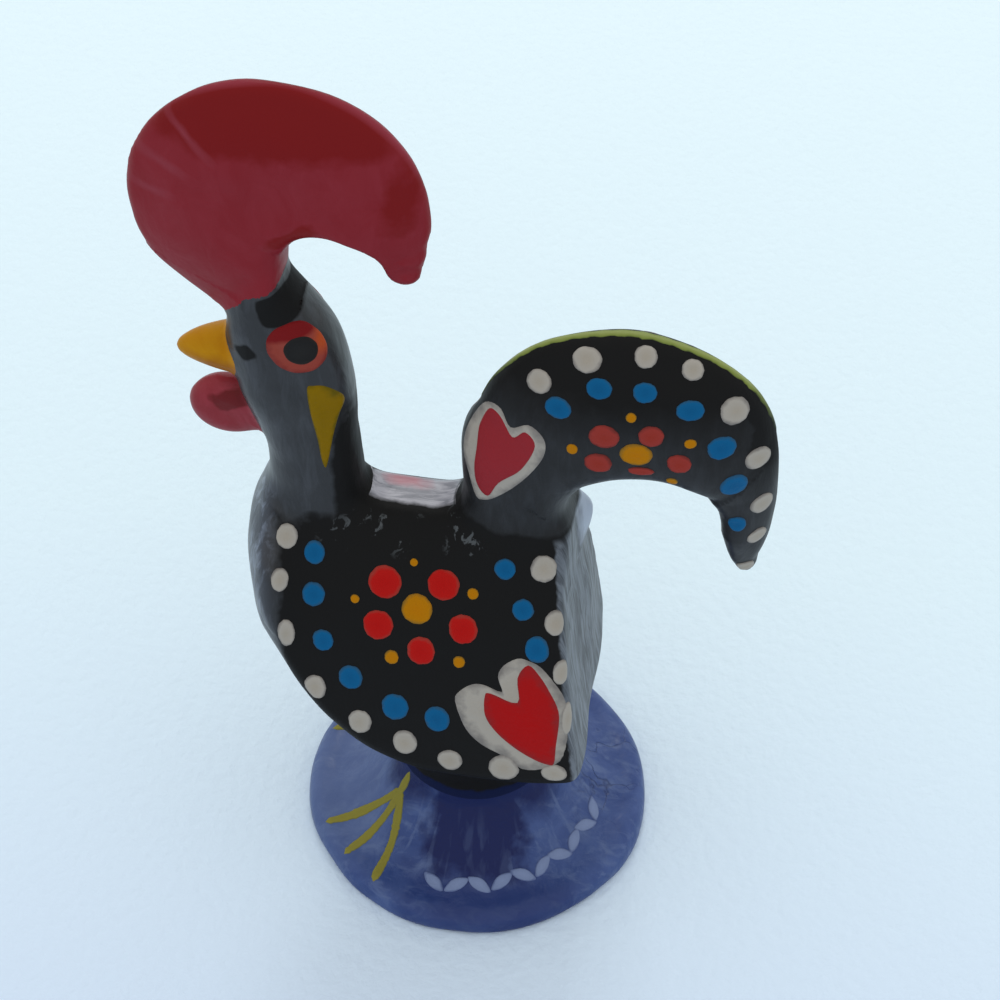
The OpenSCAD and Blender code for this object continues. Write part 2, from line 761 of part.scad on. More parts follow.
foot();
body();
neck_and_head();
beak();
wattle();
comb();
tail();
tail_rim_band();
foot_garland();
for (s = SIDES) {
    color(eye_orange) on_side(s) eye_ring();
    color(black_glaze) on_side(s)
        on_head(eye_x, eye_z) cylinder(d = pupil_d, h = dab_h);
    color(yellow) on_side(s) ear_drop();
    color(white) on_side(s)
        body_dabs(white_spots, white_d);
    color(dot_blue) on_side(s)
        body_dabs(blue_spots, blue_d);
    color(petal_red) on_side(s)
        body_dabs(petal_spots, petal_d);
    color(yellow) on_side(s)
        body_dabs(flower_spots, flower_centre_d);
    color(yellow) on_side(s)
        body_dabs(speck_spots, speck_d);
    color(white) on_side(s) body_halo();
    color(heart_red) on_side(s) body_heart(1, heart_spot, 0);
    color(white) on_side(s)
        tail_dabs(tail_white_spots, white_d * 0.95);
    color(dot_blue) on_side(s)
        tail_dabs(tail_blue_spots, blue_d);
    color(petal_red) on_side(s)
        tail_dabs(tail_petal_spots, petal_d * 0.85);
    color(yellow) on_side(s)
        tail_dabs(tail_flower_spots, flower_centre_d * 0.95);
    color(yellow) on_side(s)
        tail_dabs(tail_speck_spots, speck_d);
    color(white) on_side(s) tail_heart(0, halo_w * 0.8);
    color(heart_red) on_side(s) tail_heart(1, 0);
    color(yellow) on_side(s) toes();
}
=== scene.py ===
# %% [markdown]
# # A painted clay rooster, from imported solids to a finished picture
# The rooster is a hand-sized ornament of fired clay. A potter presses the body, rolls the neck, cuts
# the comb and the tail out of flat slabs, and joins them with slip, so every joint is a soft fillet.
# Glossy glaze goes on first, and thick enamel dots, flowers and hearts come on top of it.
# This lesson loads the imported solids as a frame, then builds each clay piece and each dab of enamel
# as a mesh of its own in the same place. Sizes are written in millimetres and scaled once at the end.

# %% Load the frame
import json
import math

import bpy
import numpy as np
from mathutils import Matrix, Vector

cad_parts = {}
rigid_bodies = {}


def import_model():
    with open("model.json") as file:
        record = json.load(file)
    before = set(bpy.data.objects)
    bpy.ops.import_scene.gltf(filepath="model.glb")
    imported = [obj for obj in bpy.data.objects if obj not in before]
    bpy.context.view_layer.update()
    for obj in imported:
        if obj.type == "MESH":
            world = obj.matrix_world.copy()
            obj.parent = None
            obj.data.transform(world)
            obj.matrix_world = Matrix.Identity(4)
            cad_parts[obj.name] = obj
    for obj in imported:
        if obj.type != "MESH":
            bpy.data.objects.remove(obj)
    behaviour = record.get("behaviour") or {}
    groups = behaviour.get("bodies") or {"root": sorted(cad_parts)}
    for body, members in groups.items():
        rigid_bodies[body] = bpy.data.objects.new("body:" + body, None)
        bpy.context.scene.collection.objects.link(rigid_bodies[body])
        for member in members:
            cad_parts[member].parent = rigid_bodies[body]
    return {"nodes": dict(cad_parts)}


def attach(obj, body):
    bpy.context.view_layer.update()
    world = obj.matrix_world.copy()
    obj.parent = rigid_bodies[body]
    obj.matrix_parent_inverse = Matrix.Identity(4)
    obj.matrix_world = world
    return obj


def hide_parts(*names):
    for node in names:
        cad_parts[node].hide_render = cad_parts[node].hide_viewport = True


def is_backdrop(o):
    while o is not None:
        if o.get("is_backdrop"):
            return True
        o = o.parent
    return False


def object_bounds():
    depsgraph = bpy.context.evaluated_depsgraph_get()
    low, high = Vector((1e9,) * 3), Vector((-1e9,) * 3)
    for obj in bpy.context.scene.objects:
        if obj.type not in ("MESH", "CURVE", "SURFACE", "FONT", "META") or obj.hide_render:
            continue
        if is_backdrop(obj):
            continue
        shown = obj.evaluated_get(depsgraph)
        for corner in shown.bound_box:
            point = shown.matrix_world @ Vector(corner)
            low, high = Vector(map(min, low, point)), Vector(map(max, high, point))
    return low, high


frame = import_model()
cad_box = [list(corner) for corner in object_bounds()]
MM = 0.001
print("nodes in the frame:", len(frame["nodes"]))
print("box in mm:", [[round(v * 1000, 2) for v in corner] for corner in cad_box])

# %% [markdown]
# ## Camera
# The photograph looks down on the rooster from its left side, with a short telephoto view. The round
# foot fixes the angle: its ellipse gives how far the camera looks down, and the width of the ellipse
# against its distance gives the lens. The camera could be aimed by a constraint, but plain angles are
# easier to read and to repeat.

# %% Place the camera
SENSOR_WIDTH = 36.0
LENS = 92.43
CAMERA_PLACE = (0.020817, -0.131431, 0.191043)
TILT = 41.289
TURN = 8.134
view_data = bpy.data.cameras.new("photo_view")
view_data.sensor_width = SENSOR_WIDTH
view_data.lens = LENS
view_data.clip_start = 0.01
view_data.clip_end = 10.0
camera = bpy.data.objects.new("photo_view", view_data)
camera.location = CAMERA_PLACE
camera.rotation_euler = (math.radians(TILT), 0.0, math.radians(TURN))
bpy.context.scene.collection.objects.link(camera)
bpy.context.scene.camera = camera
print("camera height in mm:", round(camera.location.z * 1000, 1))

# %% [markdown]
# ## Clay as a distance field
# Hand-made clay has no sharp corners and no seams, which is hard to get by joining meshes. A distance
# field is better here: each form is a function that is negative inside the clay and positive outside,
# and two forms are joined by blending their functions over a few millimetres, as slip fills a joint.

# %% Blending two forms
def join(a, b, width):
    """Both forms, with a fillet about as wide as width where they meet."""
    share = np.clip(0.5 + 0.5 * (b - a) / width, 0.0, 1.0)
    return b + (a - b) * share - width * share * (1.0 - share)


def trim(a, b, width):
    """What a and b have in common, with the edge between them rounded."""
    return -join(-a, -b, width)


def circle(u, v, centre, radius):
    """How far a point is outside a circle, and so through the whole clay outside a round rod."""
    return np.hypot(u - centre[0], v - centre[1]) - radius


def half_plane(u, v, start, end):
    """Positive to the right of the line from start to end."""
    du, dv = end[0] - start[0], end[1] - start[1]
    return ((u - start[0]) * dv - (v - start[1]) * du) / math.hypot(du, dv)


print("fillet of two touching planes 2 mm wide:", float(join(np.array(0.0), np.array(0.0), 2.0)))

# %% [markdown]
# A thumb leaves slow, shallow waves in clay. A few long sine waves in random directions give the same
# unevenness, and because they are part of the field, the enamel that is laid on later follows them.

# %% Uneven hand-pressed clay
WAVES = 7
FULL_TURN = 6.28


def thumb_marks(x, y, z, seed, length, depth):
    """Waves about as long as length. They rarely add up, so depth is about the deepest mark."""
    rng = np.random.default_rng(seed)
    total = np.zeros(np.broadcast(x, y, z).shape)
    for _ in range(WAVES):
        way = rng.normal(size=3)
        way *= 2 * math.pi / (length * rng.uniform(0.7, 1.5) * np.linalg.norm(way))
        total = total + np.sin(x * way[0] + y * way[1] + z * way[2] + rng.uniform(0, FULL_TURN))
    return total * depth / (WAVES / 2)


print("unevenness at one point in mm:", round(float(thumb_marks(1.0, 2.0, 3.0, 1, 9.0, 0.1)), 3))

# %% [markdown]
# ## Body
# The body is arched like a loaf: wide and flat at the bottom, closing to a rounded crown that was
# pressed flat for the saddle. Its lower edge sweeps up to the chest, and the back face is cut flat and
# leans a little forward. Lofted cross-sections would do for the arch, but not for the soft edges round
# it, so the arch, the underside, the back and the chest are separate fields that trim one another.

# %% Body sizes
CROWN_Z = 39.4
BASE_Z = 16.2
BODY_HEIGHT = CROWN_Z - BASE_Z
HALF_WIDTH = 10.2
ARCH_POWER = 1.5
CHEST_X = -15.3
CHEST_END_X = 2.5
CHEST_RISE = 13.6
BACK_X = 10.05
BACK_LEAN = 0.126
SHOULDER_Z = 36.8
print("body height and width in mm:", round(BODY_HEIGHT, 1), 2 * HALF_WIDTH)

# %% [markdown]
# The arch is a curve of the height over the width. The saddle fills its crown out a little over the
# middle and then cuts it flat.

# %% Arch and saddle
SADDLE_Z = 39.3
SADDLE_HALF = 2.9


def arch_form(y, z):
    t = np.clip((z - BASE_Z) / BODY_HEIGHT, 0.0, 1.25)
    near_crown = np.clip(t * 5 - 3.5, 0.0, 1.0)
    t = t - 0.03 * np.exp(-((y / SADDLE_HALF) ** 2)) * near_crown
    value = (y / HALF_WIDTH) ** 2 + np.clip(t, 0.0, None) ** ARCH_POWER - 1.0
    slope = np.hypot(2 * y / HALF_WIDTH**2, ARCH_POWER * np.sqrt(np.clip(t, 0.0, None)) / BODY_HEIGHT)
    return trim(value / np.maximum(slope, 0.045), z - SADDLE_Z, 0.4)


print("saddle height above the table in mm:", SADDLE_Z)

# %% [markdown]
# The underside rises in a long curve from the back to the chest, and it is rounded across like a boat.
# The chest bulges out in front as a flat ball, and on the far side of the back the clay was left with
# a soft shoulder.

# %% Body form
def underside(x, y, z):
    lift = np.clip((CHEST_END_X - x) / 17.8, 0.0, 1.05)
    edge = BASE_Z + CHEST_RISE * lift**3 + 0.03 * np.clip(x - 3.5, 0.0, None) ** 2
    keel = BASE_Z - 1.0 + 8.0 * lift**3
    share = np.clip((edge - BASE_Z) / BODY_HEIGHT, 0, 1)
    half = HALF_WIDTH * np.sqrt(np.clip(1 - share**ARCH_POWER, 0.01, 1))
    belly = edge - (edge - keel) * np.sqrt(np.clip(1 - (y / half) ** 2, 0.0, 1.0))
    return (belly - z) / np.sqrt(1 + (2.1 * lift**2) ** 2)


def back_face(x, y, z):
    far_side = np.clip(y / 3.0, 0.0, 1.0)
    shoulder = 1.5 * np.exp(-(((z - SHOULDER_Z) / 3.2) ** 2))
    swelling = 0.35 * np.exp(-(((z - 27.5) / 4.5) ** 2))
    lump = far_side * (shoulder + swelling)
    return (x - BACK_X + BACK_LEAN * (z - BASE_Z) - lump) * 0.95


def chest_ball(x, y, z):
    middle_z = 32.2
    half_z = np.where(z > middle_z, 6.4, 8.8)
    reach = np.sqrt(((x - CHEST_X) / 2.8) ** 2 + (y / 7.0) ** 2 + ((z - middle_z) / half_z) ** 2)
    return (reach - 1.0) * 3.4


def body_form(x, y, z):
    trunk = trim(arch_form(y, z), underside(x, y, z), 1.1)
    trunk = trim(trunk, back_face(x, y, z), 1.2)
    trunk = trim(trunk, (CHEST_X - x) * 0.97, 1.6)
    return join(trunk, chest_ball(x, y, z), 1.6)


def stem_form(x, y, z):
    """The short neck under the body, in the body's black glaze."""
    radius = 6.6 + 0.135 * (z - 8.5)
    cone = (np.hypot(x, y) - radius) * 0.98
    return trim(cone, np.maximum(8.0 - z, z - 19.0), 0.6)


print("the stem is", round(2 * (6.6 + 0.135 * 8.0), 1), "mm across under the body")

# %% [markdown]
# ## Foot
# The foot is thrown on a wheel: a thick rim, then a flare that climbs steeply to the stem. A turned
# profile would be exactly round, so the form is written as a height over the radius instead: its rim
# can wander, and the flare keeps the ridges of the fingers that pulled the clay outwards.

# %% Foot form
FOOT_RIM_TOP = 2.2
FLARE_RISE = 6.3
FLARE_START = 14.0
FLARE_WIDTH = 7.5
FLARE_POWER = 2.2


def foot_form(x, y, z):
    r = np.hypot(x, y)
    angle = np.arctan2(y, x)
    f = np.clip((FLARE_START - r) / FLARE_WIDTH, 0.0, 1.2)
    top = FOOT_RIM_TOP + FLARE_RISE * f**FLARE_POWER
    on_flare = np.clip(f * 2.2, 0, 1) * np.clip(2 - f * 2, 0, 1)
    ridges = 0.06 * np.sin(23 * angle + 1.3 * np.sin(3 * angle)) * on_flare
    slope = 1.85 * f**1.2
    flare = (z - top - ridges) / np.sqrt(1 + slope**2)
    edge = 15.25 - 0.14 * np.sin(2 * angle + 0.4) - 0.08 * np.sin(5 * angle)
    solid = trim(flare, r - edge + 0.12, 1.9)
    solid = trim(solid, -z, 0.7)
    return trim(solid, z - 10.0, 0.5)


print("height of the flare in mm:", FOOT_RIM_TOP + FLARE_RISE)

# %% [markdown]
# ## Neck and head
# The neck is a rolled coil, flattened a little on both sides, that leans forward and narrows into the
# brow. Its cross-sections are listed from the saddle up as height, front, back and half-width. They
# follow the solid, with the back drawn in as far as the photograph shows, and are smoothed so that the
# light runs down the neck without steps. A slanting plane cuts the brow, where the comb stands.

# %% Neck form
NECK_RINGS = np.array([
    (36.0, -17.6, -8.4, 3.6), (38.0, -17.4, -8.6, 3.5), (39.2, -16.8, -8.7, 3.3),
    (41.0, -16.2, -8.8, 3.23), (43.6, -15.95, -8.85, 3.2), (46.0, -16.1, -9.0, 3.23),
    (48.5, -16.8, -9.0, 3.3), (51.0, -17.8, -8.95, 3.37), (53.5, -18.2, -9.2, 3.37),
    (56.0, -18.35, -9.75, 3.23), (58.0, -18.35, -10.7, 3.0), (60.0, -18.2, -12.1, 2.72),
    (62.0, -17.9, -13.4, 2.4), (64.0, -17.7, -14.8, 2.0), (66.0, -17.6, -15.6, 1.8),
])
NECK_FLATNESS = 2.4
REACH = 20
fine_z = np.arange(34.0, 67.0, 0.1)
weights = np.exp(-0.5 * (np.arange(-REACH, REACH + 1) / 7.0) ** 2)
weights /= weights.sum()


def smoothed(column):
    fine = np.interp(fine_z, NECK_RINGS[:, 0], column)
    return np.convolve(np.pad(fine, REACH, mode="edge"), weights, "valid")


neck_fine = [smoothed(NECK_RINGS[:, k]) for k in (1, 2, 3)]


def neck_form(x, y, z):
    front, rear, half = (np.interp(z, fine_z, column) for column in neck_fine)
    cx, rx = (front + rear) / 2, (rear - front) / 2
    u, v = np.abs(x - cx) / rx, np.abs(y) / half
    p = NECK_FLATNESS
    rho = np.maximum((u**p + v**p) ** (1 / p), 1e-3)
    slope = np.hypot((u / rho) ** (p - 1) / rx, (v / rho) ** (p - 1) / half)
    tube = (rho - 1.0) / slope * 0.96
    brow = ((z - 59.6) - (x + 18.3)) * 0.7071
    tube = trim(tube, brow, 2.2)
    return trim(tube, 34.0 - z, 1.0)


print("neck rings:", len(NECK_RINGS))

# %% [markdown]
# ## Comb
# The comb is a clay disc, cut with a notch at the back, that stands on the brow. It is thick in the
# middle and pinched thin along the rim. The notch's edge isn't pinched: it is simply rounded. So the
# lens is made over the whole outline first, and the notch is cut from it after that.

# %% A lens over any outline
def lens_half(depth, rim, middle, over):
    """Half the thickness at a depth inside the rim, and how steeply it grows there."""
    s = np.clip(depth / over, 0.0, 1.0)
    return rim + (middle - rim) * (1 - (1 - s) ** 2), (middle - rim) * 2 * (1 - s) / over


print("half thickness 3 mm inside the comb's rim:", round(float(lens_half(3.0, 0.5, 2.5, 6.7)[0]), 2), "mm")

# %% Comb form
COMB_MID = (-13.75, 69.0)
COMB_R = 10.95
COMB_THICK = 2.5
NOTCH_MID = (-9.85, 64.1)
NOTCH_R = 3.7
TIP = [((-4.75, 63.6), 1.25), ((-4.85, 65.3), 1.65)]


def comb_outline(x, z):
    """The disc, the wedge that runs down to the brow and the rounded tip behind the notch."""
    disc = circle(x, z, COMB_MID, COMB_R)
    front = half_plane(x, z, (-23.4, 64.4), (-18.1, 57.6))
    wedge = np.maximum(np.maximum(front, x + 13.4), np.maximum(57.0 - z, z - 64.0))
    tip = join(circle(x, z, *TIP[0]), circle(x, z, *TIP[1]), 0.8)
    return join(join(disc, wedge, 0.8), tip, 0.6)


def comb_notch(x, z):
    below = np.maximum(half_plane(x, z, (-5.3, 62.4), (-7.6, 65.4)), np.maximum(z - 65.2, -13.2 - x))
    return join(circle(x, z, NOTCH_MID, NOTCH_R), below, 0.8)


def comb_form(x, y, z):
    outline = comb_outline(x, z)
    half, slope = lens_half(-outline, 0.5, COMB_THICK, 6.7)
    plate = trim((np.abs(y) - half) / np.sqrt(1 + slope**2), outline, 0.7)
    softness = np.interp(x, [-12.5, -8.5], [2.2, 0.6])
    plate = trim(plate, -comb_notch(x, z), softness)
    gentle = (59.8 + 0.55 * (x + 17.5) - z) / 1.14
    steep = (61.1 + 1.3 * (x + 15.6) - z) / 1.64
    sole = np.where(x < -12.4, np.maximum(gentle, steep), -9.0)
    return trim(plate, np.maximum(sole, 57.5 - z), 0.5)


print("comb across:", 2 * COMB_R, "mm")

# %% [markdown]
# ## Tail
# The tail is a thick sickle: a disc with a round hollow cut under it, whose back runs down into a
# pointed hook. It stands on a round root. It narrows to a thin rim and tapers towards the tip. It is
# the comb's lens again, with a taper added and a wider, softer cut.

# %% Tail form
TAIL_MID = (11.6, 47.95)
TAIL_R = 11.6
TAIL_THICK = 3.8
HOOK_X = 13.3
HOLLOW_MID = (13.3, 40.1)
HOLLOW_R = 6.0
ROOT_R = 2.95


def tail_outline(x, z):
    disc = circle(x, z, TAIL_MID, TAIL_R)
    hook = np.maximum(circle(x, z, (2.62, 43.35), 20.88), np.maximum(HOOK_X - x, z - 49.0))
    hook = np.maximum(hook, 35.3 - z)
    tip = circle(x, z, (21.2, 35.85), 1.1)
    return join(join(disc, hook, 0.6), tip, 0.8)


def tail_hollow(x, z):
    below_mid = HOLLOW_MID[1] - z
    below = np.maximum(-below_mid, np.maximum(x - 19.3 - below_mid * 0.28, 7.3 - x))
    return np.minimum(circle(x, z, HOLLOW_MID, HOLLOW_R), below)


def tail_form(x, y, z):
    outline = tail_outline(x, z)
    half, slope = lens_half(-outline, 0.5, TAIL_THICK, 6.7)
    taper = np.where(x > HOOK_X, 0.75 + 0.36 * np.clip(z - 35.2, 0.0, 20.0), 9.0)
    half = join(half, taper, 1.2)
    sickle = (np.abs(y) - half) / np.sqrt(1 + slope**2)
    sickle = trim(sickle, outline, 0.7)
    root = np.hypot(np.clip(2.1 - x, 0.0, None) + np.clip(x - 5.0, 0.0, None), y) - ROOT_R
    root = trim(root, z - 49.5, 3.0)
    sickle = join(sickle, root, 1.8)
    softness = np.interp(z, [36.5, 41.0, 45.0], [1.2, 2.6, 4.2])
    sickle = trim(sickle, -tail_hollow(x, z), softness)
    keep = np.where(x < 10.0, 35.0 - z, -9.0)
    return np.maximum(sickle, keep)


print("tail across:", 2 * TAIL_R, "mm")

# %% [markdown]
# ## Beak and wattle
# Both are small pellets of clay pressed on: the beak a blunt cone, the wattle a flattened drop. They
# are fields too, so that the fillets at the head come by themselves.

# %% Beak and wattle forms
BEAK_START_X = -17.0
BEAK_LENGTH = 5.6
WATTLE_MID = (-19.0, 47.9)
WATTLE_R = 3.1


def beak_form(x, y, z):
    along = np.clip((BEAK_START_X - x) / BEAK_LENGTH, 0.0, 1.0)
    r = 2.15 * np.clip(1 - along**1.6, 0.0, 1.0) ** 0.6 + 0.02
    drop = 54.25 - 0.5 * along
    cone = (np.hypot(y, z - drop) - r) * 0.8
    return trim(cone, np.maximum(x + 16.4, -22.65 - x), 0.5)


def wattle_form(x, y, z):
    outline = circle(x, z, WATTLE_MID, WATTLE_R)
    bridge = np.maximum(np.abs(z - 47.6) - 2.2, np.maximum(x + 15.5, -19.0 - x))
    outline = join(outline, bridge, 0.8)
    half, slope = lens_half(-outline, 0.5, 1.25, 2.0)
    return trim((np.abs(y) - half) / np.sqrt(1 + slope**2), outline, 0.9)


print("beak length:", BEAK_LENGTH, "mm, wattle across:", 2 * WATTLE_R, "mm")

# %% [markdown]
# ## The whole clay
# The forms are joined with fillets of different widths. Each piece then takes the part of the joined
# clay that is nearest to its own form. It runs on a little below its neighbour's surface, so that the
# two stay separate solids that meet without a gap.

# %% Join the forms
FORMS = {
    "body": body_form, "stem": stem_form, "foot": foot_form, "neck_and_head": neck_form,
    "tail": tail_form, "comb": comb_form, "beak": beak_form, "wattle": wattle_form,
}
FILLETS = {
    "stem": 1.6, "foot": 0.9, "neck_and_head": 2.2, "tail": 3.0, "comb": 1.6, "beak": 0.5, "wattle": 0.7,
}
MARKS = [dict(seed=5, length=9.0, depth=0.1), dict(seed=8, length=3.2, depth=0.02)]
OVERLAP = 0.6
SINK = 0.07


def all_forms(x, y, z):
    return {name: form(x, y, z) for name, form in FORMS.items()}


def joined(values, x, y, z):
    total = values["body"]
    for name, fillet in FILLETS.items():
        total = join(total, values[name], fillet)
    for mark in MARKS:
        total = total + thumb_marks(x, y, z, **mark)
    return total


def clay(p):
    """The joined clay's field at points given as an N by 3 array."""
    x, y, z = p[:, 0], p[:, 1], p[:, 2]
    return joined(all_forms(x, y, z), x, y, z)


def one_piece(members):
    """The field of one piece, which owns the clay nearest to its own forms."""
    def field(x, y, z):
        values = all_forms(x, y, z)
        mine = np.minimum.reduce([values[name] for name in members])
        others = np.minimum.reduce([values[name] for name in FORMS if name not in members])
        own = mine - others
        sink = SINK * np.clip(own / 0.35, 0.0, 1.0)
        return np.maximum(joined(values, x, y, z) + sink, (own - OVERLAP) * 0.7)
    return field


print("field at the middle of the body:", round(float(clay(np.array([[0.0, 0.0, 28.0]]))[0]), 2), "mm")

# %% [markdown]
# ## From field to mesh
# The field is sampled on a grid. Each grid cell that the surface passes through gets one point, and
# each grid edge that it crosses gets one four-sided face. The points are then moved onto the surface
# along the field's slope, and the slope also gives every point its exact normal. Blender's own remesh
# needs a closed mesh to start from, which these forms don't have.

# %% Slope and settling
def slope_of(field, p, step=0.02):
    out = np.empty_like(p)
    for axis in range(3):
        d = np.zeros(3)
        d[axis] = step
        out[:, axis] = (field(p + d) - field(p - d)) / (2 * step)
    return out


def settle(field, p, rounds=3):
    """Moves points onto the surface, never far in one round."""
    for _ in range(rounds):
        g = slope_of(field, p)
        size = np.maximum((g**2).sum(1), 0.05)
        move = -g * (field(p) / size)[:, None]
        length = np.linalg.norm(move, axis=1)[:, None]
        p = p + move * np.minimum(1.0, 0.25 / np.maximum(length, 1e-9))
    return p


dropped = settle(clay, np.array([[-2.0, 0.0, 40.0]]))[0]
print("a point dropped on the saddle rests at", dropped.round(2), "mm")

# %% [markdown]
# The grid's points are numbered first, one for each cell with corners on both sides of the surface. A
# point is the mean of the places where the surface crosses its cell's edges.

# %% Skin a field
def cell_points(values, low, cell):
    """The cells that the surface passes through, the number of each, and one point in each."""
    inside = values < 0
    corners = [(i, j, k) for i in (0, 1) for j in (0, 1) for k in (0, 1)]
    n = np.array(values.shape) - 1
    count = sum(inside[i:n[0] + i, j:n[1] + j, k:n[2] + k].astype(np.int8) for i, j, k in corners)
    cells = np.argwhere((count > 0) & (count < 8))
    index = np.full(n, -1)
    index[tuple(cells.T)] = np.arange(len(cells))
    total = np.zeros((len(cells), 3))
    hits = np.zeros(len(cells))
    for a in corners:
        for b in corners:
            if sum(b) - sum(a) == 1 and all(q >= r for q, r in zip(b, a)):
                va = values[tuple((cells + a).T)]
                vb = values[tuple((cells + b).T)]
                cross = (va < 0) != (vb < 0)
                t = np.where(cross, va / np.where(cross, va - vb, 1.0), 0.0)[:, None]
                total += np.where(cross[:, None], np.array(a) + t * (np.array(b) - np.array(a)), 0.0)
                hits += cross
    return low + cell * (cells + total / hits[:, None]), index


def edge_faces(inside, index):
    """One four-sided face for each grid edge that crosses the surface, wound to face outwards."""
    faces = []
    for axis in range(3):
        u, v = (axis + 1) % 3, (axis + 2) % 3
        lo = [slice(1, -1)] * 3
        lo[axis] = slice(0, -1)
        hi = list(lo)
        hi[axis] = slice(1, None)
        here, there = inside[tuple(lo)], inside[tuple(hi)]
        for start, flip in ((here & ~there, False), (~here & there, True)):
            e = np.argwhere(start) + 1
            e[:, axis] -= 1
            du, dv = np.zeros(3, int), np.zeros(3, int)
            du[u], dv[v] = 1, 1
            quad = np.stack([index[tuple((e - s).T)] for s in (du + dv, dv, 0 * du, du)], axis=1)
            faces.append(quad[:, ::-1] if flip else quad)
    return np.concatenate(faces)


def skin(field, low, high, cell):
    axes = [np.arange(low[k] - 2 * cell, high[k] + 3 * cell, cell) for k in range(3)]
    values = field(*np.meshgrid(*axes, indexing="ij", sparse=True))
    points, index = cell_points(values, np.array([ax[0] for ax in axes]), cell)
    return points, edge_faces(values < 0, index)


ball = skin(lambda x, y, z: np.sqrt(x**2 + y**2 + z**2) - 1.0, (-1, -1, -1), (1, 1, 1), 0.25)
print("a ball 2 mm across is skinned with", len(ball[1]), "faces")

# %% [markdown]
# Blender takes the points and faces as plain lists. The exact normals go in as custom normals, so the
# pieces shade as one smooth form even where one ends inside another. Every piece rides on the body
# "root", because nothing on the rooster moves.

# %% Make a Blender mesh
def new_piece(name, points, faces, normals=None, rim=None):
    mesh = bpy.data.meshes.new(name)
    mesh.from_pydata((np.asarray(points) * MM).tolist(), [], [list(map(int, f)) for f in faces])
    mesh.polygons.foreach_set("use_smooth", [True] * len(mesh.polygons))
    if rim is not None:
        shade = mesh.attributes.new("rim", "FLOAT", "POINT")
        shade.data.foreach_set("value", np.asarray(rim, dtype=np.float32))
    mesh.update()
    if normals is not None:
        mesh.normals_split_custom_set_from_vertices(np.asarray(normals).tolist())
    piece = bpy.data.objects.new(name, mesh)
    bpy.context.scene.collection.objects.link(piece)
    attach(piece, "root")
    return piece


def dress(piece, material, nodes):
    """Gives a piece its material and lets it stand for the solids it replaces."""
    piece.data.materials.append(material)
    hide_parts(*nodes)
    print(piece.name, "has", len(piece.data.polygons), "faces")


def clay_piece(name, members, low, high, cell, material, nodes):
    field = one_piece(members)

    def at_points(p):
        return field(p[:, 0], p[:, 1], p[:, 2])

    points, faces = skin(field, low, high, cell)
    points = settle(at_points, points)
    g = slope_of(at_points, points)
    g /= np.maximum(np.linalg.norm(g, axis=1), 1e-6)[:, None]
    dress(new_piece(name, points, faces, g), material, nodes)


print("millimetres are scaled to metres by", MM)

# %% [markdown]
# ## Shared finishes
# Glaze and enamel share some effects. Brushed glaze pools into long ripples, thin spots catch the
# light as a paler film, patches of colour lie at fixed places, some of them painted sheen, painted
# reflections and painted shade, and each raised dab is thinner and darker along its rim. Each effect is
# one node group, built once and placed in every material with its own values. A texture picture would
# do it too, but nodes stay sharp at any distance.

# %% Helpers for node trees
def paint_colour(r, g, b):
    """An sRGB colour from 0 to 255, as the linear colour that shaders use."""
    def lin(c):
        c /= 255
        return c / 12.92 if c <= 0.04045 else ((c + 0.055) / 1.055) ** 2.4
    return (lin(r), lin(g), lin(b), 1.0)


def new_group(name, inputs, outputs):
    group = bpy.data.node_groups.new(name, "ShaderNodeTree")
    for label, kind, value in inputs:
        socket = group.interface.new_socket(label, in_out="INPUT", socket_type=kind)
        socket.default_value = value
    for label, kind in outputs:
        group.interface.new_socket(label, in_out="OUTPUT", socket_type=kind)
    return group, group.nodes.new("NodeGroupInput").outputs, group.nodes.new("NodeGroupOutput").inputs


def add(tree, kind, inputs=None, **settings):
    """A new node. An input is given by name or number, as a value or as another node's socket."""
    node = tree.nodes.new(kind)
    for key, value in settings.items():
        setattr(node, key, value)
    for key, value in (inputs or {}).items():
        if isinstance(value, bpy.types.NodeSocket):
            tree.links.new(value, node.inputs[key])
        else:
            node.inputs[key].default_value = value
    return node


print("a grey of 128 is", round(paint_colour(128, 128, 128)[0], 3), "in linear light")

# %% [markdown]
# Most trees are sums, products and mixes, so these get short helpers. The Mix node has sockets for
# every kind of data: its colours are inputs 6 and 7, and output 2.

# %% Short helpers for sums and mixes
def math_node(tree, operation, a, b=0.0, clamp=False):
    return add(tree, "ShaderNodeMath", {0: a, 1: b}, operation=operation, use_clamp=clamp).outputs[0]


def times(tree, a, b):
    return math_node(tree, "MULTIPLY", a, b)


def mix_colour(tree, factor, a, b):
    return add(tree, "ShaderNodeMix", {0: factor, 6: a, 7: b}, data_type="RGBA").outputs[2]


def spread(tree, value, low, high, to_low=0.0, to_high=1.0):
    """Maps low..high to to_low..to_high and stays at either end outside it."""
    node = add(tree, "ShaderNodeMapRange", {0: value, 1: low, 2: high, 3: to_low, 4: to_high})
    return node.outputs[0]


def object_place(tree):
    """The place on the object, in metres in the shared frame."""
    return add(tree, "ShaderNodeTexCoord").outputs["Object"]


def noise(tree, place, scale, detail, **more):
    values = {"Vector": place, "Scale": scale, "Detail": detail}
    values.update({key.capitalize(): value for key, value in more.items()})
    return add(tree, "ShaderNodeTexNoise", values)


def any_of(tree, masks):
    total = masks[0]
    for mask in masks[1:]:
        total = math_node(tree, "MAXIMUM", total, mask)
    return total


print("helpers ready:", math_node.__name__, mix_colour.__name__, spread.__name__, noise.__name__)

# %% [markdown]
# A brush leaves long ripples in wet glaze, and the glaze also gathers into slow pools. Two noises, one
# of them stretched along the stroke, are added and bent into the normal.

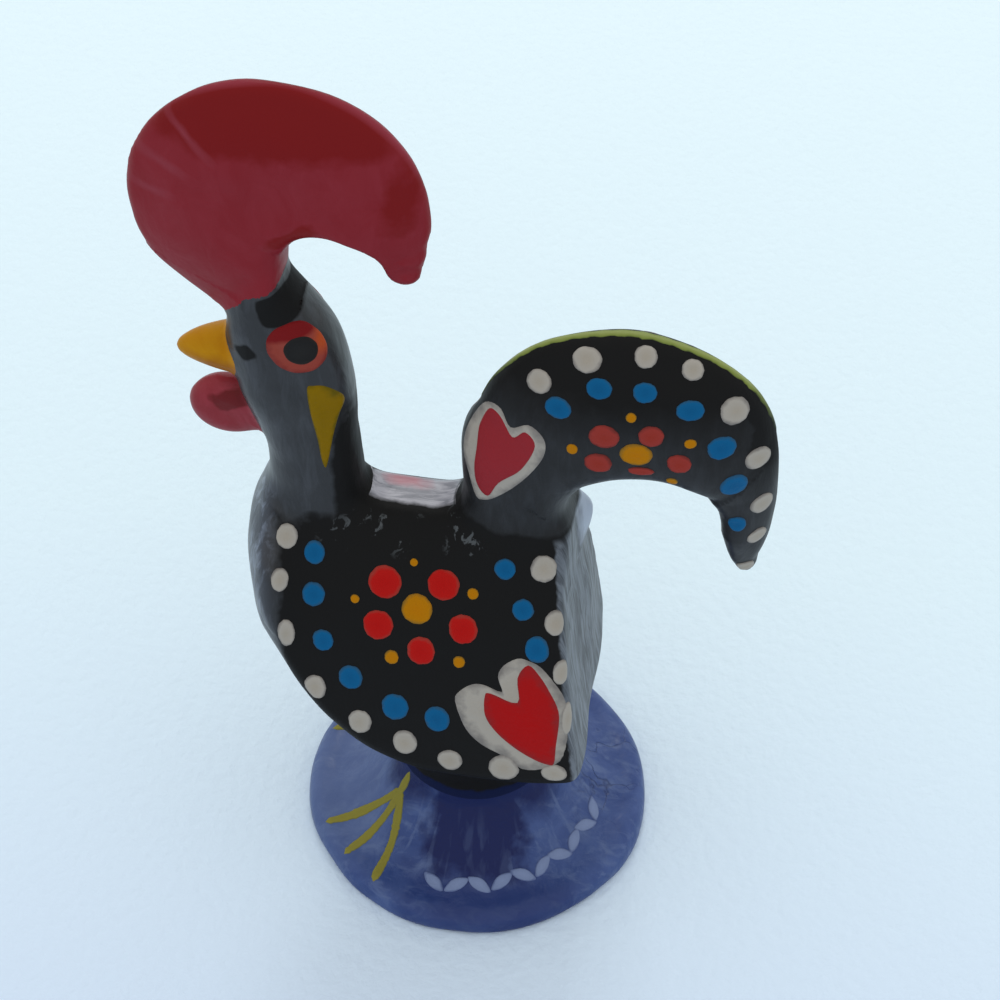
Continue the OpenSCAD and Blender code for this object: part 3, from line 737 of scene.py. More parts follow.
# %% Brushed glaze: ripples and pools
FLOAT = "NodeSocketFloat"
COLOUR = "NodeSocketColor"
VECTOR = "NodeSocketVector"
STRETCH = [("Stretch X", FLOAT, 1.0), ("Stretch Y", FLOAT, 1.0), ("Stretch Z", FLOAT, 1.0)]
ripple, given, result = new_group(
    "brushed_ripple", STRETCH + [("Per mm", FLOAT, 0.5), ("Depth", FLOAT, 0.3)],
    [("Normal", VECTOR), ("Height", FLOAT)],
)


def stretched(tree, given, place):
    """The place, drawn out by a group's three Stretch inputs."""
    scale = add(tree, "ShaderNodeCombineXYZ", {k: given[STRETCH[k][0]] for k in range(3)})
    drawn = add(tree, "ShaderNodeVectorMath", {0: place, 1: scale.outputs[0]}, operation="MULTIPLY")
    return drawn.outputs[0]


place = object_place(ripple)
per_metre = times(ripple, given["Per mm"], 1000.0)
strands = noise(ripple, stretched(ripple, given, place), per_metre, 4.0, roughness=0.55, distortion=0.4)
pools = noise(ripple, place, 260.0, 2.0)
long_share = times(ripple, strands.outputs[0], 0.7)
both = math_node(ripple, "ADD", long_share, times(ripple, pools.outputs[0], 0.6))
bump = add(ripple, "ShaderNodeBump", {"Height": both, "Strength": given["Depth"], "Distance": 0.0006})
ripple.links.new(bump.outputs[0], result["Normal"])
ripple.links.new(both, result["Height"])
print("group made:", ripple.name)

# %% [markdown]
# Where glaze is worn or was brushed thin, the clay and the light show through in ragged spots. One
# stretched noise with a soft threshold gives the mask, and Cover says how much of it stays covered.
# The same mask also streaks the painted sheen and the painted reflections on the black glaze.

# %% Thin film: where the glaze is worn or brushed thin
film, given, result = new_group(
    "thin_film", STRETCH + [("Per mm", FLOAT, 0.3), ("Cover", FLOAT, 0.5), ("Softness", FLOAT, 0.12)],
    [("Mask", FLOAT)],
)
per_metre = times(film, given["Per mm"], 1000.0)
long_place = stretched(film, given, object_place(film))
grain = noise(film, long_place, per_metre, 6.0, roughness=0.62, distortion=0.7)
low = math_node(film, "SUBTRACT", given["Cover"], given["Softness"])
high = math_node(film, "ADD", given["Cover"], given["Softness"])
film.links.new(spread(film, grain.outputs[0], low, high), result["Mask"])
print("group made:", film.name)

# %% [markdown]
# A painter puts each colour at a certain place, and the painted sheen, painted reflections and painted
# shade here are placed the same way. A zone is a soft-edged patch round a point in the shared frame,
# so it lies in the same place on every piece that it crosses. Its outline is halfway between an ellipse
# and a box, and a noise pushes it in and out.

# %% Zone: a soft-edged patch at a fixed place
zone, given, result = new_group(
    "zone",
    [("Middle", VECTOR, (0.0, 0.0, 0.0)), ("Half size", VECTOR, (1.0, 1.0, 1.0)), ("Turn", FLOAT, 0.0),
     ("Shortest half", FLOAT, 1.0), ("Softness", FLOAT, 0.3), ("Wobble", FLOAT, 0.6)],
    [("Mask", FLOAT)],
)


def vector_step(operation, a, b):
    return add(zone, "ShaderNodeVectorMath", {0: a, 1: b}, operation=operation).outputs


place = object_place(zone)
in_mm = add(zone, "ShaderNodeVectorMath", {0: place, "Scale": 1000.0}, operation="SCALE").outputs[0]
off = vector_step("SUBTRACT", in_mm, given["Middle"])[0]
turning = {"Vector": off, "Angle": given["Turn"]}
turned = add(zone, "ShaderNodeVectorRotate", turning, rotation_type="Y_AXIS")
shares = vector_step("DIVIDE", turned.outputs[0], given["Half size"])[0]
square = vector_step("MULTIPLY", shares, shares)[0]
fourth = vector_step("MULTIPLY", square, square)[0]
total = vector_step("DOT_PRODUCT", fourth, (1.0, 1.0, 1.0))["Value"]
reach = math_node(zone, "POWER", total, 0.25)
outside = times(zone, math_node(zone, "SUBTRACT", reach, 1.0), given["Shortest half"])
ragged = noise(zone, place, 620.0, 3.0)
push = times(zone, math_node(zone, "SUBTRACT", ragged.outputs[0], 0.5), given["Wobble"])
edge = math_node(zone, "ADD", outside, push)
inner = times(zone, given["Softness"], -1.0)
zone.links.new(spread(zone, edge, inner, given["Softness"], 1.0, 0.0), result["Mask"])


def zone_mask(tree, x, z, half_x, half_z, y=0.0, half_y=1000.0, turn=0.0, softness=0.3, wobble=1.2):
    """A patch round (x, z) in mm. It runs through the clay unless half_y is given."""
    values = {"Middle": (x, y, z), "Half size": (half_x, half_y, half_z), "Turn": math.radians(turn),
              "Shortest half": min(half_x, half_y, half_z), "Softness": softness, "Wobble": wobble}
    return add(tree, "ShaderNodeGroup", values, node_tree=zone).outputs[0]


print("group made:", zone.name)

# %% [markdown]
# Raised enamel runs thin at its rim, where the ground shows through, and the stick or brush leaves a
# paler or darker middle. The rim value is stored on each dab's points, from 0 in the middle to 1.

# %% Dab tint: rim and brushed-out middle of raised enamel
dab_tint, given, result = new_group(
    "dab_tint",
    [("Colour", COLOUR, (1, 1, 1, 1)), ("Rim colour", COLOUR, (0, 0, 0, 1)),
     ("Middle colour", COLOUR, (1, 1, 1, 1)), ("Unevenness", FLOAT, 0.5)],
    [("Colour", COLOUR), ("Normal", VECTOR)],
)
rim_value = add(dab_tint, "ShaderNodeAttribute", attribute_name="rim")
place = object_place(dab_tint)
mottle = noise(dab_tint, place, 900.0, 4.0)
uneven = times(dab_tint, math_node(dab_tint, "SUBTRACT", mottle.outputs[0], 0.5), given["Unevenness"])
shifted = math_node(dab_tint, "ADD", rim_value.outputs["Fac"], uneven)
tone = mix_colour(dab_tint, spread(dab_tint, shifted, 0.15, 0.75), given["Middle colour"], given["Colour"])
tone = mix_colour(dab_tint, spread(dab_tint, shifted, 0.78, 1.02), tone, given["Rim colour"])
fine = noise(dab_tint, place, 2200.0, 3.0)
bump = add(dab_tint, "ShaderNodeBump", {"Height": fine.outputs[0], "Strength": 0.35, "Distance": 0.0002})
dab_tint.links.new(tone, result["Colour"])
dab_tint.links.new(bump.outputs[0], result["Normal"])
print("group made:", dab_tint.name)

# %% [markdown]
# ## Glazes
# Every glaze is a Principled shader with ripples in its normal. Two helpers place the shared groups
# with a material's own values.

# %% Helpers for glazes
def glaze_shader(name):
    material = bpy.data.materials.new(name)
    material.use_nodes = True
    tree = material.node_tree
    return material, tree, tree.nodes["Principled BSDF"]


def stretch_values(stretch):
    return {STRETCH[k][0]: stretch[k] for k in range(3)}


def ripples(tree, stretch, per_mm, depth):
    values = {**stretch_values(stretch), "Per mm": per_mm, "Depth": depth}
    return add(tree, "ShaderNodeGroup", values, node_tree=ripple).outputs["Normal"]


def ragged_spots(tree, stretch, per_mm, cover, softness):
    values = {**stretch_values(stretch), "Per mm": per_mm, "Cover": cover, "Softness": softness}
    return add(tree, "ShaderNodeGroup", values, node_tree=film).outputs["Mask"]


print("groups to place:", ripple.name, film.name, zone.name, dab_tint.name)

# %% [markdown]
# The black is one coat over body, neck and tail. Its painted side panels are dense and nearly matt.
# Round the neck and the tail's root, on the chest and on the back face it was brushed on thinner and
# keeps brush marks, and its grey there is a painted sheen. Zones in the shared frame say where, so the
# pieces match. Three pieces with a material each would show a seam at the fillets.

# %% Black glaze, front half
DENSE_BLACK = paint_colour(25, 25, 25)
black_glaze, tree, shader = glaze_shader("black_glaze")
waves = ripples(tree, (1.0, 1.0, 0.3), 0.7, 0.25)
strokes = ragged_spots(tree, (1.0, 1.0, 0.2), 1.1, 0.6, 0.12)
patches = ragged_spots(tree, (1.0, 1.0, 0.8), 0.22, 0.52, 0.2)
place = object_place(tree)
spot = add(tree, "ShaderNodeSeparateXYZ", {0: place}).outputs
neck_zone = any_of(tree, [
    zone_mask(tree, -14.0, 51.4, 8.6, 12.1, wobble=1.6),
    zone_mask(tree, -19.6, 30.0, 5.0, 12.0)])
tail_zone = math_node(
    tree, "MINIMUM",
    zone_mask(tree, 9.0, 48.0, 12.0, 8.3, softness=0.25, wobble=1.0),
    zone_mask(tree, 9.0, 45.5, 12.5, 7.5, softness=2.6, wobble=2.0))
tail_zone = math_node(tree, "MAXIMUM", tail_zone, zone_mask(tree, 21.5, 41.0, 3.6, 6.0, softness=1.0))
# Small patches on the head and the back of the neck where the painted sheen gives way to painted dark
# reflections.
dark_reflection_zones = any_of(tree, [
    zone_mask(tree, -13.9, 60.7, 1.5, 1.35, turn=15.0, softness=0.08, wobble=0.35),
    zone_mask(tree, -9.3, 44.2, 1.25, 6.2, softness=0.2, wobble=0.8),
    zone_mask(tree, -16.5, 56.4, 0.75, 0.7, turn=35.0, softness=0.1, wobble=0.4)])
sheen = math_node(tree, "MAXIMUM", neck_zone, times(tree, tail_zone, 0.5))
sheen = math_node(tree, "SUBTRACT", sheen, dark_reflection_zones, clamp=True)
# The grey of the sheen zones is a painted sheen, mottled and with brush strokes.
grey = mix_colour(tree, patches, paint_colour(29, 30, 32), paint_colour(38, 40, 43))
grey = mix_colour(tree, strokes, grey, paint_colour(50, 53, 58))
base = mix_colour(tree, sheen, DENSE_BLACK, grey)
# The chest's pale streaks are a painted reflection at grazing angles.
chest = times(tree, spread(tree, spot["X"], -0.0150, -0.0165), spread(tree, spot["Z"], 0.043, 0.040))
chest_reflection = mix_colour(tree, strokes, paint_colour(58, 62, 70), paint_colour(122, 132, 148))
base = mix_colour(tree, chest, base, chest_reflection)
print("black glaze, front half, nodes:", len(tree.nodes))

# %% [markdown]
# The back face got a quick coat of thin black that runs in upright streaks, lightened by a painted
# sheen, and its upper edge on the far side is painted pale as a painted reflection. The leaning edge of
# that face is found by a distance along its own direction.

# %% Black glaze, back face
FACE_DIRECTION = (992.0, 0.0, 125.0)
FACE_EDGE = 11.5
lean = add(tree, "ShaderNodeVectorMath", {0: place, 1: FACE_DIRECTION}, operation="DOT_PRODUCT")
edge_noise = noise(tree, place, 700.0, 3.0).outputs[0]
ragged_edge = math_node(tree, "ADD", lean.outputs["Value"], spread(tree, edge_noise, 0.2, 0.8, -0.2, 0.2))
below_tail = times(tree, spread(tree, spot["Z"], 0.0395, 0.0388), spread(tree, spot["X"], 0.0115, 0.011))
behind = times(tree, spread(tree, ragged_edge, FACE_EDGE, FACE_EDGE + 0.2), below_tail)
runs = ragged_spots(tree, (0.2, 1.4, 0.14), 1.5, 0.5, 0.09)
# Upright streaks in the thin black, lightened by a painted sheen.
back_streaks_and_sheen = mix_colour(tree, runs, paint_colour(48, 51, 56), paint_colour(104, 111, 119))
# A painted reflection on the upper edge of the far side.
cap = zone_mask(tree, 8.6, 37.2, 1.8, 2.6, y=3.6, half_y=2.8, softness=0.5)
back_streaks_and_sheen = mix_colour(tree, cap, back_streaks_and_sheen, paint_colour(158, 168, 184))
base = mix_colour(tree, behind, base, back_streaks_and_sheen)
print("black glaze with its back face, nodes:", len(tree.nodes))

# %% [markdown]
# The top of the saddle, where it faces up, is painted pale as a painted reflection of the window, with
# two pink touches that are a painted reflection of the comb, and small chips of glaze lie round the
# joints of neck and tail. The stem's foot was overpainted with the foot's blue, painted dark there as
# shade under the body. Where the coat is thin it is also glossier, so the same masks drive the roughness.

# %% Black glaze, saddle, chips and stem
marks = ragged_spots(tree, (1.0, 1.0, 1.0), 0.8, 0.6, 0.015)
mark_zone = any_of(tree, [
    zone_mask(tree, -7.4, 38.2, 3.2, 1.1, softness=0.5),
    zone_mask(tree, -0.2, 39.0, 1.4, 1.6, softness=0.5)])
base = mix_colour(tree, times(tree, marks, mark_zone), base, paint_colour(78, 82, 84))
# The saddle's pale top is a painted reflection, laid only where the clay faces up.
shape = add(tree, "ShaderNodeNewGeometry")
up = add(tree, "ShaderNodeSeparateXYZ", {0: shape.outputs["Normal"]}).outputs["Z"]
saddle_reflection_zone = zone_mask(tree, -4.6, 39.8, 4.35, 1.6, y=2.0, half_y=2.9, softness=0.12, wobble=0.5)
saddle = times(tree, spread(tree, up, 0.7, 0.8), saddle_reflection_zone)
grain = ragged_spots(tree, (0.25, 1.6, 1.0), 1.3, 0.5, 0.1)
pale = mix_colour(tree, grain, paint_colour(120, 122, 130), paint_colour(166, 166, 174))
comb_reflection = zone_mask(tree, -5.6, 39.5, 1.5, 3.0, y=1.6, half_y=0.6, softness=0.3, wobble=1.2)
pale = mix_colour(tree, times(tree, comb_reflection, 0.8), pale, paint_colour(176, 110, 120))
base = mix_colour(tree, saddle, base, pale)
# The stem's foot in the foot's blue, painted dark as shade under the body.
low = math_node(tree, "ADD", spot["Z"], spread(tree, edge_noise, 0.2, 0.8, -0.0003, 0.0003))
base = mix_colour(tree, spread(tree, low, 0.0096, 0.0093), base, paint_colour(20, 28, 60))
tree.links.new(base, shader.inputs["Base Color"])
tree.links.new(waves, shader.inputs["Normal"])
shine = any_of(tree, [times(tree, behind, 0.5), saddle, sheen])
tree.links.new(spread(tree, shine, 0.0, 1.0, 0.05, 0.36), shader.inputs["Specular IOR Level"])
tree.links.new(spread(tree, shine, 0.0, 1.0, 0.5, 0.34), shader.inputs["Roughness"])
print("black glaze nodes:", len(tree.nodes))

# %% [markdown]
# The foot's blue is painted dark under the body as painted shade and darker along its near edge, and
# paler on the left as a painted reflection, with paler spots where it ran thin towards the rim and fine
# rays down the flare, which are ridges with a painted highlight along them. A few fine cracks run across
# the right-hand side, as they do in a fast-cooled glaze. Cells with a bent border make better cracks
# than a drawn line would.

# %% Blue glaze, pools and rays
blue_glaze, tree, shader = glaze_shader("blue_glaze")
waves = ripples(tree, (0.8, 0.8, 1.0), 0.45, 0.55)
pools = ragged_spots(tree, (1.0, 1.0, 1.0), 0.2, 0.5, 0.14)
brushed = ragged_spots(tree, (0.5, 1.0, 1.0), 0.8, 0.6, 0.1)
# Painted shade under the body.
under = any_of(tree, [
    zone_mask(tree, 1.0, 6.0, 4.2, 40.0, y=-7.6, half_y=3.6, softness=0.7, wobble=3.6),
    zone_mask(tree, 0.0, 6.0, 7.2, 40.0, y=0.6, half_y=7.2, softness=0.6)])
# Darker along the near edge, and paler on the left as a painted reflection.
front = zone_mask(tree, 3.5, 3.0, 7.5, 40.0, y=-13.0, half_y=3.0, softness=1.2, wobble=1.6)
left = zone_mask(tree, -11.5, 3.0, 4.5, 40.0, y=-1.0, half_y=8.0, softness=1.6, wobble=2.4)
place = object_place(tree)
spot = add(tree, "ShaderNodeSeparateXYZ", {0: place}).outputs
round_angle = math_node(tree, "ARCTAN2", spot["Y"], spot["X"])
squares = [math_node(tree, "POWER", spot[name], 2.0) for name in "XY"]
radius = times(tree, math_node(tree, "POWER", math_node(tree, "ADD", *squares), 0.5), 1000.0)
polar = add(tree, "ShaderNodeCombineXYZ", {0: times(tree, round_angle, 9.0), 1: times(tree, radius, 0.3)})
rays = noise(tree, polar.outputs[0], 1.0, 5.0, distortion=0.6).outputs[0]
flare_band = times(tree, spread(tree, radius, 7.0, 8.4), spread(tree, radius, 12.6, 11.0))
# Pale rays on the flare's ridges, a painted highlight.
ridge_highlight = times(tree, spread(tree, rays, 0.52, 0.64), flare_band)
blue = mix_colour(tree, pools, paint_colour(46, 66, 118), paint_colour(66, 86, 136))
blue = mix_colour(tree, brushed, blue, paint_colour(82, 100, 142))
blue = mix_colour(tree, times(tree, left, 0.6), blue, paint_colour(88, 106, 146))
blue = mix_colour(tree, times(tree, front, 0.7), blue, paint_colour(28, 42, 94))
blue = mix_colour(tree, under, blue, paint_colour(12, 26, 78))
ridge_highlight = times(tree, ridge_highlight, spread(tree, under, 0.0, 1.0, 0.5, 0.15))
blue = mix_colour(tree, ridge_highlight, blue, paint_colour(96, 114, 152))
print("blue glaze, before its cracks, nodes:", len(tree.nodes))

# %% Blue glaze, cracks
bend = noise(tree, place, 240.0, 3.0)
bent = mix_colour(tree, 0.01, place, bend.outputs["Color"])
cells = add(tree, "ShaderNodeTexVoronoi", {"Vector": bent, "Scale": 190.0}, feature="DISTANCE_TO_EDGE")
crack = spread(tree, cells.outputs["Distance"], 0.0, 0.035, 1.0, 0.0)
crack_zone = zone_mask(tree, 11.4, 3.0, 2.0, 40.0, y=2.0, half_y=3.6, softness=1.2, wobble=3.0)
crack = times(tree, crack, crack_zone)
blue = mix_colour(tree, times(tree, crack, 0.5), blue, paint_colour(26, 36, 76))
tree.links.new(blue, shader.inputs["Base Color"])
opened = {"Height": crack, "Strength": 0.4, "Distance": 0.0003, "Normal": waves}
bump = add(tree, "ShaderNodeBump", opened, invert=True)
tree.links.new(bump.outputs[0], shader.inputs["Normal"])
shader.inputs["Roughness"].default_value = 0.34
shader.inputs["Specular IOR Level"].default_value = 0.2
print("blue glaze nodes:", len(tree.nodes))

# %% [markdown]
# Comb, wattle and beak share one recipe: a base, a paler thin film, and one darker pool of paint. On the
# comb the darker pool over its top is painted shade, and the lighter face below it a painted sheen. The
# comb also has pale streaks that are painted highlights on shallow flutes, and a thin pale line that is a
# painted highlight along its pinched rim.

# %% Comb, wattle and beak glazes
EVEN = (1.0, 1.0, 1.0)
FLUTE_HIGHLIGHT = (132, 50, 60)
RIM_HIGHLIGHT = (146, 62, 76)


def small_glaze(name, base, thin, pool, pools, stretch, cover, specular, streaks=()):
    """pools lists zones of the pool's colour, and streaks lists (colour, zone) pairs."""
    material, tree, shader = glaze_shader(name)
    spots = ragged_spots(tree, stretch, 0.4, cover, 0.16)
    colour = mix_colour(tree, spots, paint_colour(*base), paint_colour(*thin))
    masks = any_of(tree, [zone_mask(tree, **values) for values in pools])
    colour = mix_colour(tree, masks, colour, paint_colour(*pool))
    for tone, values in streaks:
        colour = mix_colour(tree, zone_mask(tree, **values), colour, paint_colour(*tone))
    tree.links.new(colour, shader.inputs["Base Color"])
    tree.links.new(ripples(tree, stretch, 0.4, 0.25), shader.inputs["Normal"])
    shader.inputs["Specular IOR Level"].default_value = specular
    shader.inputs["Roughness"].default_value = 0.38
    return material


comb_red = small_glaze(
    "comb_red", (126, 34, 42), (131, 41, 50), (117, 23, 25), [
        # The first zone darkens the comb's top as painted shade; the face below keeps the lighter painted
        # sheen.
        dict(x=-13.5, z=79.4, half_x=9.6, half_z=4.6, softness=0.5, wobble=2.0),
        dict(x=-4.6, z=71.5, half_x=1.2, half_z=2.6, turn=-15.0, softness=0.4, wobble=2.0),
        dict(x=-12.4, z=68.1, half_x=2.0, half_z=0.6, turn=32.0, softness=0.12, wobble=0.8)],
    (1.0, 1.0, 0.6), 0.56, 0.06, [
        # Pale streaks on the comb's shallow flutes, painted highlights.
        (FLUTE_HIGHLIGHT, dict(x=-19.5, z=75.9, half_x=1.6, half_z=0.22, turn=-40.0, softness=0.2, wobble=0.5)),
        (FLUTE_HIGHLIGHT, dict(x=-21.6, z=73.3, half_x=1.6, half_z=0.3, turn=-17.0, softness=0.25, wobble=0.5)),
        (FLUTE_HIGHLIGHT, dict(x=-22.4, z=70.6, half_x=1.3, half_z=0.25, turn=-5.0, softness=0.25, wobble=0.5))])
wattle_red = small_glaze(
    "wattle_red", (130, 38, 46), (142, 50, 60), (102, 22, 25), [
        dict(x=-18.6, z=49.3, half_x=1.5, half_z=0.8, turn=25.0, softness=0.12, wobble=1.0)],
    EVEN, 0.52, 0.14)
beak_yellow = small_glaze(
    "beak_yellow", (172, 114, 1), (180, 128, 10), (150, 92, 2), [
        dict(x=-18.8, z=53.4, half_x=1.8, half_z=0.9, softness=0.5, wobble=1.6)],
    EVEN, 0.55, 0.08)
print("small glazes made:", comb_red.name, wattle_red.name, beak_yellow.name)

# %% [markdown]
# The painted highlight on the pinched rim is a ring round the comb's middle, so the distance from there
# in the plane of the comb finds it. It is painted along the upper rim only.

# %% The comb's pinched rim and its painted highlight
tree = comb_red.node_tree
shader = tree.nodes["Principled BSDF"]
face = shader.inputs["Base Color"].links[0].from_socket
place = object_place(tree)
flat = add(tree, "ShaderNodeVectorMath", {0: place, 1: (1000.0, 0.0, 1000.0)}, operation="MULTIPLY")
middle = (COMB_MID[0], 0.0, COMB_MID[1])
gap = add(tree, "ShaderNodeVectorMath", {0: flat.outputs[0], 1: middle}, operation="DISTANCE")
away = gap.outputs["Value"]
height = add(tree, "ShaderNodeSeparateXYZ", {0: place}).outputs["Z"]
rim_highlight_mask = times(tree, spread(tree, away, 10.72, 10.92), spread(tree, height, 0.070, 0.074))
rim_highlighted = mix_colour(tree, times(tree, rim_highlight_mask, 0.55), face, paint_colour(*RIM_HIGHLIGHT))
tree.links.new(rim_highlighted, shader.inputs["Base Color"])
print("comb glaze nodes:", len(tree.nodes))

# %% [markdown]
# Enamel is mixed thick and dries nearly matt. Each colour is the same small recipe round the dab tint,
# with room for places where one mark isn't even in colour.

# %% Enamel materials
DAB_UNEVENNESS = 0.6


def enamel(name, colour, rim, middle, tone_patches=()):
    """tone_patches lists (colour, zone) pairs for places where one colour isn't even over the whole mark.
    """
    material, tree, shader = glaze_shader(name)
    values = {"Colour": paint_colour(*colour), "Rim colour": paint_colour(*rim),
              "Middle colour": paint_colour(*middle), "Unevenness": DAB_UNEVENNESS}
    tint = add(tree, "ShaderNodeGroup", values, node_tree=dab_tint).outputs
    shown = tint["Colour"]
    for tone, values in tone_patches:
        shown = mix_colour(tree, zone_mask(tree, **values), shown, paint_colour(*tone))
    tree.links.new(shown, shader.inputs["Base Color"])
    tree.links.new(tint["Normal"], shader.inputs["Normal"])
    shader.inputs["Roughness"].default_value = 0.45
    shader.inputs["Specular IOR Level"].default_value = 0.05
    return material


white_enamel = enamel("white_enamel", (162, 157, 148), (122, 118, 114), (158, 151, 139))
dot_blue = enamel("dot_blue", (12, 88, 134), (40, 80, 110), (10, 83, 128))
petal_red = enamel("petal_red", (172, 22, 18), (150, 52, 44), (170, 18, 15))
tail_petal_red = enamel("tail_petal_red", (144, 52, 45), (112, 46, 42), (142, 48, 38))
# On the tail the heart's red is painted paler, a painted sheen.
heart_red = enamel("heart_red", (160, 19, 20), (138, 34, 36), (164, 16, 17), tone_patches=[
    ((140, 40, 47), dict(x=2.6, z=48.3, half_x=5.0, half_z=7.0))])
flower_yellow = enamel("flower_yellow", (172, 112, 2), (128, 96, 34), (174, 110, 1))
ear_yellow = enamel("ear_yellow", (126, 98, 2), (96, 82, 12), (122, 95, 1))
toe_yellow = enamel("toe_yellow", (132, 126, 54), (106, 108, 72), (130, 124, 54))
eye_orange = enamel("eye_orange", (138, 60, 50), (116, 42, 38), (141, 68, 58), tone_patches=[
    ((114, 22, 24), dict(x=-13.2, z=59.0, half_x=2.4, half_z=0.9, turn=10.0, softness=0.2, wobble=0.5)),
    ((168, 72, 36), dict(x=-10.7, z=58.0, half_x=0.6, half_z=1.2, softness=0.3, wobble=0.6))])
pupil_black = enamel("pupil_black", (33, 33, 33), (40, 36, 34), (36, 36, 36))
rim_green = enamel("rim_green", (116, 128, 62), (78, 88, 50), (134, 144, 84), tone_patches=[
    ((54, 62, 52), dict(x=22.6, z=50.0, half_x=2.2, half_z=4.0, softness=1.2)),
    ((84, 94, 62), dict(x=0.6, z=52.0, half_x=3.0, half_z=3.4, softness=1.2))])
pale_blue = enamel("pale_blue", (116, 131, 166), (86, 100, 140), (122, 137, 172))
print("materials so far:", len(bpy.data.materials))

# %% [markdown]
# ## The clay pieces
# Now the seven clay pieces are skinned, each inside a box that holds it with room to spare. A cell of
# 0.3 mm is fine enough for the thin rims and keeps each mesh light, and the small beak and wattle get
# a finer one. The stem belongs to the body's black glaze.

# %% Skin the clay
CELL = 0.3
SMALL_CELL = CELL * 0.8
clay_piece("clay_foot", ["foot"], (-15.3, -15.3, -0.2), (15.3, 15.3, 11),
           CELL, blue_glaze, ["foot"])
clay_piece("clay_body", ["body", "stem"], (-20, -10.8, 7.4), (10, 10.8, 42),
           CELL, black_glaze, ["body"])
clay_piece("clay_neck", ["neck_and_head"], (-20.5, -6.5, 32.5), (-5, 6.5, 65),
           CELL, black_glaze, ["neck_and_head"])
clay_piece("clay_tail", ["tail"], (-3, -6.5, 33), (25, 6.5, 61),
           CELL, black_glaze, ["tail"])
clay_piece("clay_comb", ["comb"], (-26, -3.6, 56), (-2, 3.6, 81),
           CELL, comb_red, ["comb"])
clay_piece("clay_beak", ["beak"], (-23, -2.6, 51), (-15.5, 2.6, 57),
           SMALL_CELL, beak_yellow, ["beak"])
clay_piece("clay_wattle", ["wattle"], (-22.5, -2, 43.8), (-14.8, 2, 52),
           SMALL_CELL, wattle_red, ["wattle"])

# %% [markdown]
# ## Laying enamel
# A loaded stick or brush leaves a dab with an uneven round outline, a soft shoulder and a nearly flat
# top. Each dab is drawn as rings of points on the plane that touches the clay at its centre. The
# points are then settled onto the clay and raised by the paint's height. Painting it as colour only
# would be less work, but real enamel stands up and throws a thin shadow at its edge.

# %% Collect the dabs of one piece
class Paint:
    """Collects the dabs of one piece before its mesh is made."""
    def __init__(self):
        self.points = []
        self.faces = []
        self.rims = []
        self.count = 0

    def append(self, points, faces, rims):
        self.points.append(points)
        self.faces.extend([tuple(i + self.count for i in face) for face in faces])
        self.rims.append(rims)
        self.count += len(points)

    def finish(self, name, material, slot, node):
        points, rims = np.concatenate(self.points), np.concatenate(self.rims)
        dress(new_piece(name, points, self.faces, None, rims), material, [node])


print("an empty pot of paint holds", Paint().count, "points")

# %% [markdown]
# A dab is placed by where it lies on the side, seen along Y. The clay is searched from outside, along
# a line towards the middle, until it is met.

# %% Find a place on the clay
def find_surface(x, z, side, reach=12.0):
    """The clay's outermost point over (x, z), seen from one side."""
    y = side * np.arange(reach, 0.0, -0.05)
    p = np.stack([np.full_like(y, x), y, np.full_like(y, z)], axis=1)
    depth = clay(p)
    first = np.argmax(depth < 0) if depth.min() < 0 else np.argmin(depth)
    return settle(clay, p[first:first + 1])[0]


def tangent_axes(p, toward):
    """Two directions along the clay at p, the first of them towards toward, and the way out of it."""
    n = slope_of(clay, p[None])[0]
    n /= np.linalg.norm(n)
    a = np.array(toward) - n * np.dot(toward, n)
    a /= np.linalg.norm(a)
    return a, np.cross(n, a), n


def normals_at(p):
    g = slope_of(clay, p)
    return g / np.linalg.norm(g, axis=1)[:, None]


print("the side's middle lies at", find_surface(-3.7, 33.0, -1).round(2), "mm")

# %% [markdown]
# The rings lie close together at the shoulder, where the paint turns down. The last ring dips into the
# clay, so no gap shows under a dab.

# %% One dab on the clay
SHOULDER = [0.9, 0.97, 1.0]
TOP = 0.92
DIP = -0.25
ALONG_X = (1.0, 0.0, 0.0)


def raise_shape(paint, centre, outline, height, lift=0.0, rings=7):
    """outline is a closed loop of points near the clay, all in sight of the centre, in mm."""
    m = len(outline)
    shares = np.concatenate([np.linspace(0.25, 0.8, rings - 3), SHOULDER])
    profile = np.sqrt(np.clip(1 - shares**6, 0.0, 1.0)) * (TOP + 0.12 * shares**2)
    profile[-1] = DIP
    world = np.concatenate([centre[None]] + [centre + (outline - centre) * s for s in shares])
    raised = np.concatenate([[TOP]] + [np.full(m, v) for v in profile])
    rims = np.concatenate([[0.0]] + [np.full(m, s) for s in shares])
    world = settle(clay, world, 4)
    g = normals_at(world)
    faces = [(0, 1 + i, 1 + (i + 1) % m) for i in range(m)]
    for r in range(len(shares) - 1):
        s, t = 1 + r * m, 1 + (r + 1) * m
        faces += [(s + i, t + i, t + (i + 1) % m, s + (i + 1) % m) for i in range(m)]
    if np.dot(np.cross(world[1] - world[0], world[2] - world[0]), g[0]) < 0:
        faces = [f[::-1] for f in faces]
    paint.append(world + g * (lift + height * raised)[:, None], faces, rims)


def lay(paint, centre, outline, height, toward=ALONG_X, lift=0.0, rings=7):
    """outline is a closed list of (along, up) points round the dab's centre, in mm."""
    a, b, n = tangent_axes(centre, toward)
    if n[1] > 0:
        b = -b
    flat = np.asarray(outline, float)
    raise_shape(paint, centre, centre + flat[:, :1] * a + flat[:, 1:] * b, height, lift, rings)


